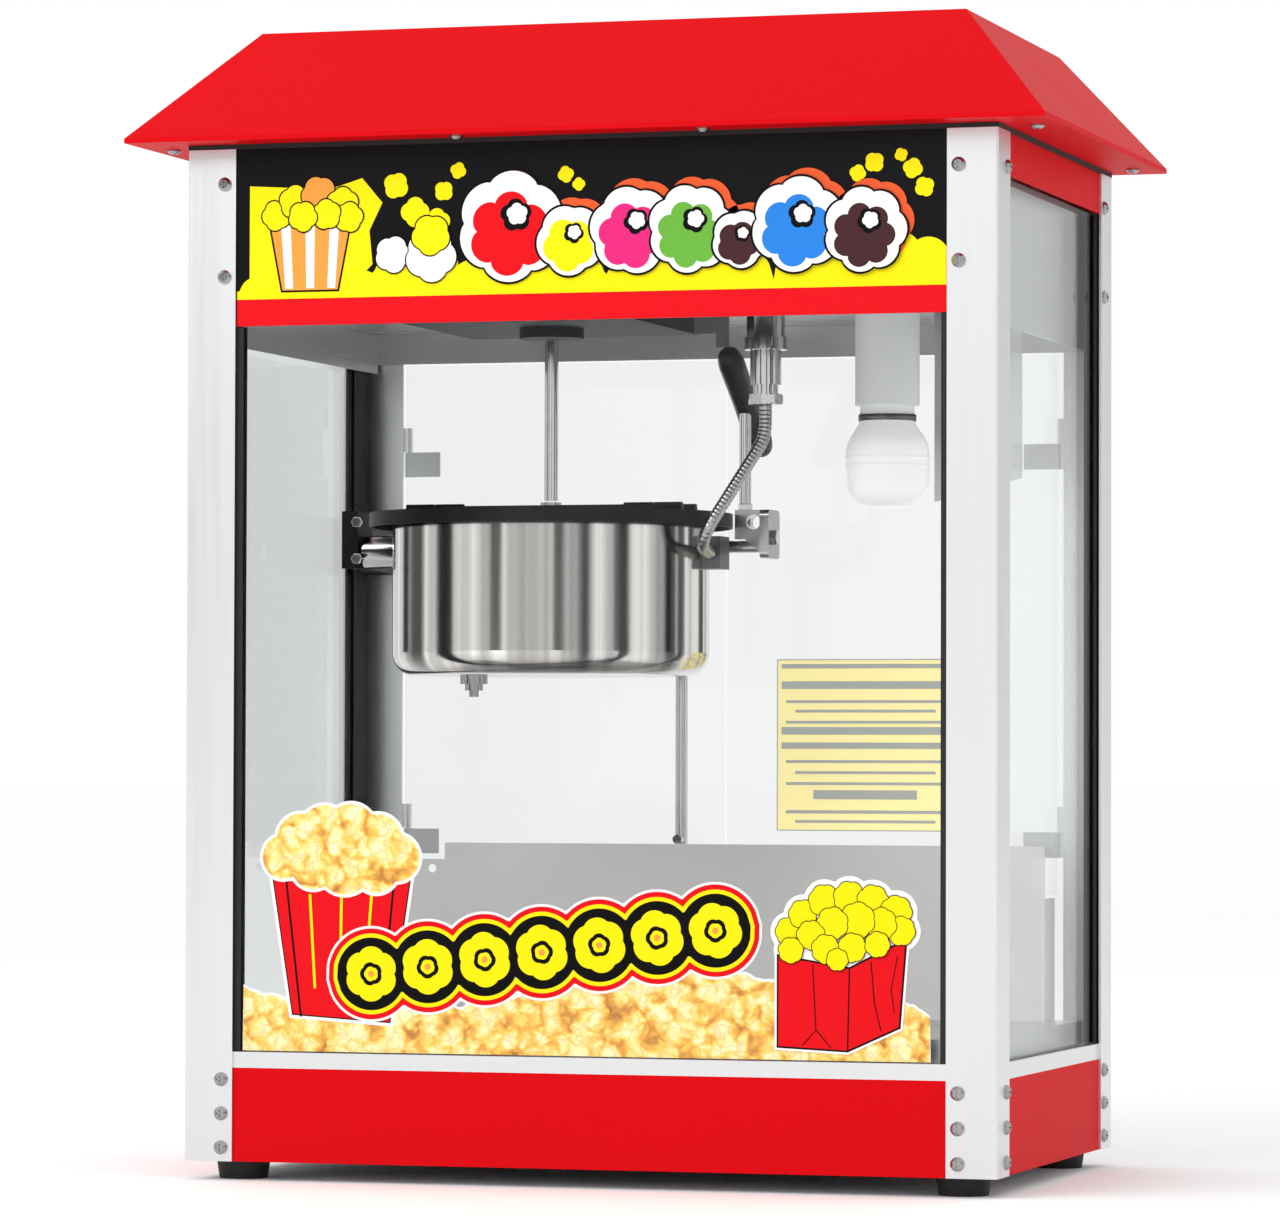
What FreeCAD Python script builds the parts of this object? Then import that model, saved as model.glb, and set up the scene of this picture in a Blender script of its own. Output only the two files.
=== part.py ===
import FreeCAD, Part
import math
import os
import re
import Sketcher

# A table-top popcorn maker: a red hipped roof on four angle posts, a glazed cabinet, and a
# round kettle that hangs from an arm on one rear post and tips forward.
#
# Row frame: origin on the floor under the middle of the whole outline, +Z up, +X to the
# right seen from the glazed front, +Y towards the rear doors. Cabinet frame, which the
# helpers take: the same axes, from the middle of the posts' feet. All lengths in millimetres.

SIZES = {
    # posts, roof and feet
    "body_width": 500, "body_depth": 308, "post_height": 606.5, "post_leg": 30.5,
    "post_wall": 1.5, "post_corner": 1.4, "gasket_thick": 3, "gasket_width": 14,
    "roof_rise": 72, "roof_lip": 3, "roof_sheet": 1.5, "roof_edge": 1.2,
    "side_overhang": 32.5, "front_overhang": 23, "rear_overhang": 12,
    "roof_side_slope": 62.5, "roof_front_slope": 68, "roof_rear_slope": 29,
    "underside_margin": 12,
    "foot_height": 11.5, "foot_top_radius": 16.3, "foot_base_radius": 14.6, "foot_inset_x": 27,
    "foot_inset_y": 30, "foot_recess_radius": 5.5, "foot_recess_depth": 5,
    # base, sills and floor
    "panel_sheet": 1.2, "base_height": 56, "sill_height": 9.5, "sill_width": 13,
    "tray_top": 79, "tray_sheet": 1.2, "tray_gap": 1, "tray_hole_radius": 3,
    "tray_hole_pitch": 30, "tray_columns": 12, "tray_rows": 6,
    "drawer_width": 380, "drawer_length": 262, "drawer_height": 40, "drawer_wall": 1.2,
    "drawer_lift": 3, "drawer_gap": 2, "drawer_face_margin": 7, "drawer_face_thick": 2,
    "pull_width": 90, "pull_depth": 9, "pull_height": 14,
    # glazing
    "glass_thick": 4, "glass_setback": 3, "glass_edge": 14, "glass_tuck": 6,
    "seal_width": 22, "seal_wall": 1.5, "seal_show": 4, "seal_gap": 0.2,
    # top box
    "sign_bottom": 500, "sign_thick": 1.5, "board_thick": 1, "board_inset": 12,
    "left_board_bottom": 491, "right_board_bottom": 497, "board_top": 600,
    "band_height": 25, "ceiling_level": 516.5, "ceiling_sheet": 1.2, "ceiling_gap": 0.5,
    "glass_cover": 8,
    # kettle
    "kettle_x": -72, "kettle_y": 8, "kettle_radius": 98, "shell_wall": 1.2, "kettle_bottom": 292.5,
    "kettle_corner": 14, "rim_level": 389.3, "pan_radius": 92, "pan_wall": 1.8,
    "pan_floor": 321, "pan_corner": 10, "flange_radius": 99.5, "flange_thick": 1.5,
    "lid_radius": 112.5, "lid_sheet": 1.5, "lid_skirt": 8.8,
    "bridge_half": 14.7, "flap_edge": 15.7, "lid_hinge_y": 15.2, "lid_hinge_rise": 3.6,
    "knuckle_radius": 2.6, "hinge_pin_radius": 1.4, "hinge_play": 0.08, "knuckle_length": 18,
    "knuckle_offset": 52, "knuckle_space": 1, "bush_play": 0.06,
    "heater_radius": 58, "heater_tube": 4.5, "heater_level": 309,
    "bolt_offset": -50, "bolt_flange_radius": 8.5, "bolt_flange_thick": 5, "bolt_nut_radius": 5.6,
    "bolt_nut_thick": 4, "bolt_stud_radius": 3, "bolt_stud_length": 4,
    # agitator and drive
    "agitator_radius": 4, "agitator_clear": 1.4, "blade_half": 82, "blade_width": 12,
    "blade_thick": 2.5, "claw_radius": 6.5, "claw_height": 6, "claw_lift": 1.2,
    "shaft_radius": 4.3, "shaft_gap": 1, "shaft_rise": 14, "shaft_play": 0.06,
    "motor_plate_width": 148, "motor_plate_depth": 138, "motor_plate_thick": 9.5,
    "hub_radius": 20, "hub_drop": 6, "gearbox_width": 110, "gearbox_depth": 78,
    "gearbox_height": 34, "motor_radius": 31, "motor_length": 52, "motor_offset": 22,
    # kettle pivot, arm and handle
    "pivot_y": 38, "pivot_level": 371, "pivot_radius": 5, "pivot_play": 0.06,
    "boss_radius": 10.5, "boss_length": 34, "arm_block_width": 10.5,
    "arm_block_half": 14, "arm_x": -204.7, "arm_bottom": 360.5, "arm_top": 396.5,
    "arm_foot_inner": -221, "arm_foot_outer": -239.3, "arm_bar": 12,
    "bracket_left": 39.8, "bracket_right": 57, "bracket_face": 62.7, "bracket_half": 8,
    "bracket_face_half": 13, "bracket_bottom": 377, "bracket_top": 395, "face_bottom": 365,
    "bracket_hole_radius": 4.6, "bracket_hole_x": 51.6, "bracket_hole_level": 387.5,
    "web_left": 46, "handle_pin_radius": 3.7, "stem_x": 44.2, "stem_radius": 3.7,
    "grip_radius": 8.2, "grip_half": 42.7, "grip_centre_rise": 90.8, "grip_tilt": 35,
    "stop_left": 14, "stop_right": 36, "stop_y": 28, "stop_drop": 21, "stop_thick": 2,
    "stop_tongue": 8,
    # supply lead
    "outlet_x": 70.7, "outlet_y": -10, "outlet_collar_radius": 11.8, "outlet_flange_radius": 13.2,
    "outlet_flange_top": 498, "outlet_flange_bottom": 490.5, "plug_radius": 9.5,
    "plug_step_level": 469, "plug_neck_radius": 7.7, "gland_top": 463.5, "gland_radius": 10,
    "gland_bottom": 457, "lead_radius": 3.9, "terminal_left": 12, "terminal_right": 37.5,
    "terminal_front": 5.5, "terminal_back": 26, "terminal_bottom": 358, "terminal_top": 378,
    # lamp and its shield
    "lamp_x": 144.5, "lamp_y": 0, "socket_radius": 19.6, "socket_bottom": 456,
    "socket_ring_radius": 16.5, "socket_ring_height": 5, "globe_neck_radius": 16.3,
    "globe_shoulder": 444, "globe_radius": 25.5, "globe_wide_top": 434, "globe_wide_bottom": 408,
    "globe_bottom": 394, "globe_flat_radius": 9,
    "shield_left": 159, "shield_right": 214, "shield_y": 60, "shield_low": 400,
    "shield_high": 414, "shield_thick": 1.5,
    # rear doors, dam and controls
    "door_bottom": 157, "door_top": 496, "door_thick": 3, "door_face": 149, "door_side_gap": 3.5,
    "door_meet": 1, "hinge_axis_x": 217.2, "hinge_axis_y": 157.4, "hinge_radius": 2.8,
    "hinge_pin": 1.3, "leaf_length": 32, "leaf_width": 22, "leaf_thick": 1.2,
    "hinge_low": 196, "hinge_high": 440, "hinge_split": 0.4,
    "bar_x": -33, "bar_y": 161.8, "bar_radius": 4, "bar_bottom": 176, "bar_top": 344,
    "bar_post_radius": 3, "bar_post_inset": 14,
    "dam_y": 117.5, "dam_thick": 1.2, "dam_half": 215.5, "dam_top": 187.5, "dam_notch_x": -178,
    "dam_notch_level": 177, "dam_hook_radius": 5.5, "dam_hook_x": -186.5, "dam_hook_level": 171,
    "dam_corner": 6, "dam_lip": 8,
    "rear_board_bottom": 497, "rear_board_thick": 1.5, "rear_board_inset": 3,
    "switch_pitch": 60, "switch_level": 556, "switch_half_width": 9, "switch_half_height": 13,
    "rocker_clear": 0.5, "rocker_thick": 8, "rocker_proud": 4, "rocker_crown": 3, "rocker_off_angle": 6,
    "rocker_axis_depth": 3, "rocker_pin_radius": 1.5, "rocker_pin_reach": 0.3,
    "inlet_x": -170, "inlet_level": 556, "inlet_radius": 9, "inlet_collar": 12,
    "inlet_proud": 8, "inlet_inside": 14, "inlet_bore": 4,
    # screws
    "screw_radius": 2, "screw_hole_radius": 2.2, "screw_length": 4.2, "screw_head_radius": 4.2,
    "screw_head_height": 2.4, "screw_crown_radius": 2.6, "screw_slot_width": 1,
    "screw_slot_length": 4.6, "screw_slot_depth": 1.1, "screw_inset_front": 23.5,
    "screw_inset_side": 22.5, "screw_top": 585.5, "screw_sign": 529.8, "screw_high": 49,
    "screw_mid": 28.6, "screw_low": 8.3, "eave_screw_x": 18, "eave_screw_y": 132,
    "eave_screw_front": 76, "eave_screw_front_inset": 11,
}

# Route of the supply lead in the cabinet frame, from its gland to the kettle's terminal cover.
LEAD_ROUTE = [(70.7, -10, 457), (70.7, -10, 437.5), (35, -34, 372), (31.5, 4.7, 367)]
LEAD_BEND_SHARE = 0.45
SIDES = {"left": -1, "right": 1}

doc = FreeCAD.newDocument("popcorn_maker")
sizes = doc.addObject("Spreadsheet::Sheet", "sizes")
for row, (alias, number) in enumerate(SIZES.items(), start=1):
    sizes.set(f"A{row}", alias)
    sizes.set(f"B{row}", str(number))
    sizes.setAlias(f"B{row}", alias)
doc.recompute()

NAMES = re.compile(r"\b(" + "|".join(sorted(SIZES, key=len, reverse=True)) + r")\b")

SHIFT = "((front_overhang - rear_overhang) / 2)"
INNER_X = "(body_width / 2 - post_wall)"
INNER_Y = "(body_depth / 2 - post_wall)"
EAVE = "(post_height + gasket_thick)"
SILL_TOP = "(base_height + sill_height)"
LID_UNDER = "(rim_level + flange_thick + 0.2)"
LID_TOP = f"({LID_UNDER} + lid_sheet)"
LID_AXIS = f"({LID_TOP} + lid_hinge_rise)"
CLAW_TOP = f"({LID_TOP} + claw_lift + claw_height)"
GLASS_FRONT = f"({INNER_Y} - glass_setback)"
GLASS_SIDE = f"({INNER_X} - glass_setback)"
DOOR_OUT = "(door_face + door_thick)"


def cells(text):
    """The expression with each size's name written as a cell of the sheet."""
    return NAMES.sub(r"sizes.\1", text)


def value(text):
    """The number that an expression gives now."""
    return float(sizes.evalExpression(cells(text)))


def place(item, x="0", y="0", z="0", turn=None):
    """Put an object at a point of the cabinet frame, after an optional turn."""
    if turn is not None:
        item.Placement = FreeCAD.Placement(FreeCAD.Vector(), turn)
    item.setExpression("Placement.Base.x", cells(x))
    item.setExpression("Placement.Base.y", cells(f"{SHIFT} + {y}"))
    item.setExpression("Placement.Base.z", cells(f"foot_height + {z}"))
    return item


def turned_about(axis, degrees):
    """A rotation about one of the frame's axes."""
    return FreeCAD.Rotation(FreeCAD.Vector(*axis), degrees)


ALONG_X = turned_about((0, 1, 0), 90)
ALONG_Y = turned_about((1, 0, 0), -90)
FACE_FRONT = turned_about((1, 0, 0), 90)


def box(label, low, size):
    """A block from its lowest corner and its three sizes."""
    item = doc.addObject("Part::Box", label)
    for side, text in zip(("Length", "Width", "Height"), size):
        item.setExpression(side, cells(text))
    return place(item, *low)


def span_box(label, x, y, z):
    """A block between two expressions on each axis."""
    pairs = (x, y, z)
    return box(label, [a for a, b in pairs], [f"({b}) - ({a})" for a, b in pairs])


def rod(label, start, radius, length, turn=None):
    """A round bar from a point, along Z or along the turned axis."""
    item = doc.addObject("Part::Cylinder", label)
    item.setExpression("Radius", cells(radius))
    item.setExpression("Height", cells(length))
    return place(item, *start, turn=turn)


def cut(label, base, *tools):
    """The first object less the others."""
    item = doc.addObject("Part::Cut", label)
    item.Base = base
    item.Tool = tools[0] if len(tools) == 1 else group(f"{label}_tools", tools)
    return item


def fuse(label, *pieces):
    """One solid from pieces that touch or cross."""
    item = doc.addObject("Part::MultiFuse", label)
    item.Shapes = list(pieces)
    item.Refine = True
    return item


def group(label, pieces):
    """Separate solids held in one object."""
    item = doc.addObject("Part::Compound", label)
    item.Links = list(pieces)
    return item


def new_body(label):
    """An empty body."""
    return doc.addObject("PartDesign::Body", label)


def origin_plane(body, role):
    """One of a body's own origin planes."""
    return next(item for item in body.Origin.OriginFeatures if item.Role == role)


def outline(body, name, role, corners, holes=()):
    """A sketch of straight sides through the corners, with round holes, all tied to the sheet."""
    sketch = body.newObject("Sketcher::SketchObject", name)
    sketch.AttachmentSupport = [(origin_plane(body, role), "")]
    sketch.MapMode = "FlatFace"
    points = [FreeCAD.Vector(value(x), value(y), 0) for x, y in corners]
    count = len(points)
    for index, point in enumerate(points):
        sketch.addGeometry(Part.LineSegment(point, points[(index + 1) % count]), False)
    for index in range(count):
        sketch.addConstraint(Sketcher.Constraint("Coincident", index, 2, (index + 1) % count, 1))
    for index, (x, y) in enumerate(corners):
        fix_point(sketch, index, 1, x, y)
    for x, y, radius in holes:
        centre = FreeCAD.Vector(value(x), value(y), 0)
        ring = Part.Circle(centre, FreeCAD.Vector(0, 0, 1), value(radius))
        index = sketch.addGeometry(ring, False)
        fix_point(sketch, index, 3, x, y)
        held = sketch.addConstraint(Sketcher.Constraint("Radius", index, value(radius)))
        sketch.setExpression(f"Constraints[{held}]", cells(radius))
    return sketch


def fix_point(sketch, index, end, x, y):
    """Hold one point of a sketch at its distances from the sketch's origin."""
    for kind, text in (("DistanceX", x), ("DistanceY", y)):
        held = sketch.addConstraint(Sketcher.Constraint(kind, -1, 1, index, end, value(text)))
        sketch.setExpression(f"Constraints[{held}]", cells(text))


def pad(body, name, role, corners, length, holes=(), reverse=None):
    """Pad an outline: upwards from XY, to the rear from XZ, to the right from YZ."""
    feature = body.newObject("PartDesign::Pad", name)
    feature.Profile = outline(body, f"{name}_outline", role, corners, holes)
    feature.setExpression("Length", cells(length))
    feature.Reversed = role == "XZ_Plane" if reverse is None else reverse
    return feature


def turned(label, corners, position, turn=None):
    """A turned piece: its half profile, as radius and height, revolved about its own Z axis."""
    body = new_body(label)
    sweep = body.newObject("PartDesign::Revolution", f"{label}_turning")
    sweep.Profile = outline(body, f"{label}_profile", "XZ_Plane", corners)
    sweep.ReferenceAxis = (sweep.Profile[0], ["V_Axis"])
    sweep.Angle = 360
    place(body, *position, turn=turn)
    return body


def soften(body, radius, wanted):
    """Fillet the edges of the body's last feature that the test picks."""
    doc.recompute()
    base = body.Tip
    edges = [f"Edge{index}" for index, edge in enumerate(base.Shape.Edges, start=1) if wanted(edge)]
    fillet = body.newObject("PartDesign::Fillet", f"{body.Label}_rounding")
    fillet.Base = (base, edges)
    fillet.setExpression("Radius", cells(radius))
    return body


def ring_edge(radius, level):
    """A test for a circle of this radius at this height, in a body's own frame."""
    reach, height = value(radius), value(level)

    def wanted(edge):
        curve = edge.Curve
        round_edge = isinstance(curve, Part.Circle) and abs(curve.Radius - reach) < 0.01
        return round_edge and abs(curve.Center.z - height) < 0.01

    return wanted


def upright_edge(x, y):
    """A test for a straight vertical edge at a point of a body's own frame."""
    goal_x, goal_y = value(x), value(y)

    def wanted(edge):
        middle = edge.CenterOfMass
        upright = isinstance(edge.Curve, Part.Line) and abs(edge.tangentAt(edge.FirstParameter).z) > 0.99
        return upright and abs(middle.x - goal_x) < 0.01 and abs(middle.y - goal_y) < 0.01

    return wanted


def screw(label, position, turn):
    """A pan-head screw with a cross slot; its head stands on the point, its shank goes in."""
    profile = [("0", "-screw_length"), ("screw_radius", "-screw_length"), ("screw_radius", "0"),
               ("screw_head_radius", "0"), ("screw_head_radius", "screw_head_height / 3"),
               ("screw_crown_radius", "screw_head_height"), ("0", "screw_head_height")]
    body = turned(label, profile, position, turn)
    for name, wide, deep in (("slot_one", "screw_slot_length", "screw_slot_width"),
                             ("slot_two", "screw_slot_width", "screw_slot_length")):
        pocket = body.newObject("PartDesign::Pocket", f"{label}_{name}")
        sheet = outline(body, f"{label}_{name}_outline", "XY_Plane",
                        [(f"-{wide} / 2", f"-{deep} / 2"), (f"{wide} / 2", f"-{deep} / 2"),
                         (f"{wide} / 2", f"{deep} / 2"), (f"-{wide} / 2", f"{deep} / 2")])
        sheet.AttachmentOffset = FreeCAD.Placement()
        sheet.setExpression("AttachmentOffset.Base.z", cells("screw_head_height"))
        pocket.Profile = sheet
        pocket.setExpression("Length", cells("screw_slot_depth"))
    return body


def post_screw_places():
    """Every screw of the four posts: name, the face's side, the point and the way it faces."""
    front = [("top", "screw_top"), ("sign", "screw_sign"), ("high", "screw_high"),
             ("mid", "screw_mid"), ("low", "screw_low")]
    for side, sign in SIDES.items():
        for end, way in (("front", -1), ("rear", 1)):
            for level, z in front:
                x = f"{sign} * (body_width / 2 - screw_inset_front)"
                yield f"{end}_{side}_{level}", x, f"{way} * body_depth / 2", z, (0, way)
            for level, z in front:
                if (end, level) != ("front", "sign"):
                    y = f"{way} * (body_depth / 2 - screw_inset_side)"
                    yield f"{side}_{end}_{level}", f"{sign} * body_width / 2", y, z, (sign, 0)


def facing(way):
    """The turn that points a piece's own Z axis along a level direction."""
    x, y = way
    return turned_about((0, 1, 0), 90 * x) if x else turned_about((1, 0, 0), -90 * y)


def make_screws():
    """The post screws and the eave screws, one node."""
    screws = []
    for name, x, y, z, way in post_screw_places():
        screws.append(screw(f"screw_{name}", (x, y, z), facing(way)))
    down = turned_about((1, 0, 0), 180)
    eave_x = "(body_width / 2 + eave_screw_x)"
    eave_y = "-(body_depth / 2 + front_overhang - eave_screw_front_inset)"
    for side, sign in SIDES.items():
        for end, way in (("front", -1), ("rear", 1)):
            spot = (f"{sign} * {eave_x}", f"{way} * eave_screw_y", EAVE)
            screws.append(screw(f"eave_screw_{side}_{end}", spot, down))
        spot = (f"{sign} * eave_screw_front", eave_y, EAVE)
        screws.append(screw(f"eave_screw_front_{side}", spot, down))
    return group("pan_screws", screws)


def drills(label, keep):
    """Clearance holes through sheet for the post screws that a test keeps."""
    holes = []
    for name, x, y, z, way in post_screw_places():
        if keep(name):
            holes.append(rod(f"{label}_hole_{name}", (x, y, z), "screw_hole_radius",
                             "screw_length + 2", facing((-way[0], -way[1]))))
    return holes


def make_posts():
    """Four angle posts with their screw holes."""
    nodes = []
    for end, way in (("front", -1), ("rear", 1)):
        for side, sign in SIDES.items():
            label = f"post_{end}_{side}"
            x, y = f"{sign} * body_width / 2", f"{way} * body_depth / 2"
            leg_x, leg_y = f"{x} - {sign} * post_leg", f"{y} - {way} * post_leg"
            in_x, in_y = f"{x} - {sign} * post_wall", f"{y} - {way} * post_wall"
            body = new_body(f"{label}_angle")
            pad(body, f"{label}_pad", "XY_Plane",
                [(x, y), (leg_x, y), (leg_x, in_y), (in_x, in_y), (in_x, leg_y), (x, leg_y)],
                "post_height")
            soften(body, "post_corner", upright_edge(x, y))
            place(body)
            own = (f"{end}_{side}_", f"{side}_{end}_")
            nodes.append(cut(label, body, *drills(label, lambda name: name.startswith(own))))
    return nodes


def make_roof():
    """Hipped roof of thin sheet over a flat underside with an opening, on a gasket frame."""
    eave_x = "(body_width / 2 + side_overhang)"
    front, rear = "(body_depth / 2 + front_overhang)", "(body_depth / 2 + rear_overhang)"
    hood = cut("roof_hood", frustum("roof_outer", eave_x, front, rear, "0", "roof_rise"),
                frustum("roof_hollow", eave_x, front, rear, "roof_sheet", "(roof_rise - roof_sheet)"))
    inset = "roof_sheet"
    open_x, open_y = f"({INNER_X} - underside_margin)", f"({INNER_Y} - underside_margin)"
    slab = span_box("underside_slab", (f"-{eave_x} + {inset} / 2", f"{eave_x} - {inset} / 2"),
                    (f"-{front} + {inset} / 2", f"{rear} - {inset} / 2"), (EAVE, f"{EAVE} + roof_sheet"))
    hole = span_box("underside_opening", (f"-{open_x}", open_x), (f"-{open_y}", open_y),
                    (f"{EAVE} - 1", f"{EAVE} + roof_sheet + 1"))
    eave_spots = [(f"{sign} * (body_width / 2 + eave_screw_x)", f"{way} * eave_screw_y")
                  for sign in (-1, 1) for way in (-1, 1)]
    eave_spots += [(f"{sign} * eave_screw_front",
                    "-(body_depth / 2 + front_overhang - eave_screw_front_inset)") for sign in (-1, 1)]
    bores = [rod(f"underside_bore_{index}", (x, y, f"{EAVE} - 1"), "screw_hole_radius",
                 "roof_sheet + 2") for index, (x, y) in enumerate(eave_spots)]
    shell = fuse("roof_shell", hood, cut("roof_underside", slab, hole, *bores))
    rim = span_box("gasket_rim", ("-body_width / 2", "body_width / 2"),
                   ("-body_depth / 2", "body_depth / 2"), ("post_height", EAVE))
    gap_x, gap_y = "(body_width / 2 - gasket_width)", "(body_depth / 2 - gasket_width)"
    gap = span_box("gasket_gap", (f"-{gap_x}", gap_x), (f"-{gap_y}", gap_y),
                   ("post_height - 1", f"{EAVE} + 1"))
    return [shell, cut("roof_gasket", rim, gap)]


def frustum(label, half_x, front, rear, inset, top):
    """A hipped block on a short upright lip, drawn in from the roof's outline by an inset."""
    body = new_body(label)
    lip = body.newObject("PartDesign::AdditiveBox", f"{label}_lip")
    low_x, low_y = f"-{half_x} + {inset}", f"-{front} + {inset}"
    for side, text in (("Length", f"2 * ({half_x} - {inset})"),
                       ("Width", f"{front} + {rear} - 2 * {inset}"), ("Height", "roof_lip")):
        lip.setExpression(side, cells(text))
    lip.setExpression("Placement.Base.x", cells(low_x))
    lip.setExpression("Placement.Base.y", cells(low_y))
    hip = body.newObject("PartDesign::AdditiveWedge", f"{label}_hip")
    hip.Placement = FreeCAD.Placement(FreeCAD.Vector(), FACE_FRONT)
    bounds = {"Xmin": low_x, "Xmax": f"{half_x} - {inset}", "Zmin": f"-{rear} + {inset}",
              "Zmax": f"{front} - {inset}", "Ymin": "roof_lip", "Ymax": top,
              "X2min": f"-{half_x} + roof_side_slope + {inset}",
              "X2max": f"{half_x} - roof_side_slope - {inset}",
              "Z2min": f"-{rear} + roof_rear_slope + {inset}",
              "Z2max": f"{front} - roof_front_slope - {inset}"}
    for name, text in bounds.items():
        hip.setExpression(name, cells(text))
    if inset == "0":
        soften(body, "roof_edge", lambda edge: edge.CenterOfMass.z > value("roof_lip + 1"))
    place(body, z=EAVE)
    return body


def make_feet():
    """Four tapered rubber feet with a recess under each for its screw."""
    profile = [("foot_recess_radius", "0"), ("foot_base_radius", "0"),
               ("foot_top_radius", "foot_height"), ("0", "foot_height"),
               ("0", "foot_recess_depth"), ("foot_recess_radius", "foot_recess_depth")]
    feet = []
    for side, sign in SIDES.items():
        for end, way in (("front", -1), ("rear", 1)):
            spot = (f"{sign} * (body_width / 2 - foot_inset_x)",
                    f"{way} * (body_depth / 2 - foot_inset_y)", "-foot_height")
            feet.append(turned(f"foot_{end}_{side}", profile, spot))
    return group("feet", feet)


def make_base():
    """Red skirt panels, floor pan, sill frame, perforated floor tray and crumb drawer."""
    far_x, far_y = INNER_X, INNER_Y
    sheet = "panel_sheet"
    front = cut("base_front_panel",
                span_box("front_panel_sheet", (f"-{far_x}", far_x), (f"-{far_y}", f"-{far_y} + {sheet}"),
                         ("0", "base_height")),
                *drills("front_panel", lambda name: is_low(name) and name.startswith("front_")))
    window_x = "(drawer_width / 2 + drawer_gap)"
    window_z = (f"{sheet} + drawer_lift - drawer_gap", f"{sheet} + drawer_lift + drawer_height + drawer_gap")
    rear = cut("base_rear_panel",
               span_box("rear_panel_sheet", (f"-{far_x}", far_x), (f"{far_y} - {sheet}", far_y),
                        ("0", "base_height")),
               span_box("rear_window", (f"-{window_x}", window_x), (f"{far_y} - 10", f"{far_y} + 10"),
                        window_z),
               *drills("rear_panel", lambda name: is_low(name) and name.startswith("rear_")))
    sides = []
    for side, sign in SIDES.items():
        edges = sorted((f"{sign} * {far_x}", f"{sign} * ({far_x} - {sheet})"), key=value)
        panel = span_box(f"{side}_panel_sheet", edges, (f"-{far_y} + {sheet}", f"{far_y} - {sheet}"),
                         ("0", "base_height"))
        own = drills(f"{side}_panel", lambda name: is_low(name) and name.startswith(f"{side}_"))
        sides.append(cut(f"base_{side}_panel", panel, *own))
    in_x, in_y = f"({far_x} - {sheet})", f"({far_y} - {sheet})"
    pan = span_box("base_pan", (f"-{in_x}", in_x), (f"-{in_y}", in_y), ("0", sheet))
    return [front, rear, *sides, pan, make_sill(), make_tray(), *make_drawer()]


def is_low(name):
    """Whether a post screw also holds a base panel."""
    return name.endswith(("_high", "_mid", "_low"))


def make_sill():
    """A frame on the base panels, grooved along three sides for the glass."""
    rim = span_box("sill_rim", (f"-{INNER_X}", INNER_X), (f"-{INNER_Y}", INNER_Y),
                   ("base_height", SILL_TOP))
    gap_x, gap_y = f"({INNER_X} - sill_width)", f"({INNER_Y} - sill_width)"
    gap = span_box("sill_gap", (f"-{gap_x}", gap_x), (f"-{gap_y}", gap_y),
                   ("base_height - 1", f"{SILL_TOP} + 1"))
    groove_z = (f"{SILL_TOP} - glass_tuck", f"{SILL_TOP} + 1")
    front = f"({GLASS_FRONT} + seal_gap)"
    side = f"({GLASS_SIDE} + seal_gap)"
    wide = "(glass_thick + 2 * seal_gap)"
    grooves = [span_box("front_groove", ("-body_width / 2 + glass_edge - 1", "body_width / 2 - glass_edge + 1"),
                        (f"-{front}", f"-{front} + {wide}"), groove_z)]
    for name, sign in SIDES.items():
        edges = sorted((f"{sign} * {side}", f"{sign} * ({side} - {wide})"), key=value)
        grooves.append(span_box(f"{name}_groove", edges,
                                ("-body_depth / 2 + glass_edge - 1", "body_depth / 2 - glass_edge + 1"),
                                groove_z))
    return cut("sill_frame", rim, gap, *grooves)


def make_tray():
    """The cabinet floor: a raised tray with rows of sieve holes over the drawer."""
    half_x = f"({INNER_X} - sill_width - tray_gap)"
    half_y = f"({INNER_Y} - sill_width - tray_gap)"
    body = new_body("floor_tray")
    top = "(tray_top - base_height)"
    pad(body, "tray_block", "XY_Plane",
        [(f"-{half_x}", f"-{half_y}"), (half_x, f"-{half_y}"), (half_x, half_y), (f"-{half_x}", half_y)], top)
    doc.recompute()
    hollow = body.newObject("PartDesign::Pocket", "tray_hollow")
    in_x, in_y = f"({half_x} - tray_sheet)", f"({half_y} - tray_sheet)"
    hollow.Profile = outline(body, "tray_hollow_outline", "XY_Plane",
                             [(f"-{in_x}", f"-{in_y}"), (in_x, f"-{in_y}"), (in_x, in_y), (f"-{in_x}", in_y)])
    hollow.setExpression("Length", cells(f"{top} - tray_sheet"))
    hollow.Reversed = True
    hole = body.newObject("PartDesign::Pocket", "tray_hole")
    start_x, start_y = "(tray_columns - 1) * tray_hole_pitch / 2", "(tray_rows - 1) * tray_hole_pitch / 2"
    hole.Profile = round_outline(body, "tray_hole_outline", f"-{start_x}", f"-{start_y}", "tray_hole_radius")
    hole.setExpression("Length", cells(f"{top} + 1"))
    hole.Reversed = True
    doc.recompute()
    rows = body.newObject("PartDesign::MultiTransform", "tray_holes")
    rows.Originals = [hole]
    steps = []
    for name, axis, count in (("tray_columns_row", "H_Axis", "tray_columns"),
                              ("tray_rows_row", "V_Axis", "tray_rows")):
        step = body.newObject("PartDesign::LinearPattern", name)
        step.Direction = (hole.Profile[0], [axis])
        step.setExpression("Length", cells(f"({count} - 1) * tray_hole_pitch"))
        step.setExpression("Occurrences", cells(count))
        steps.append(step)
    rows.Transformations = steps
    body.Tip = rows
    place(body, z="base_height")
    return body


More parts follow.
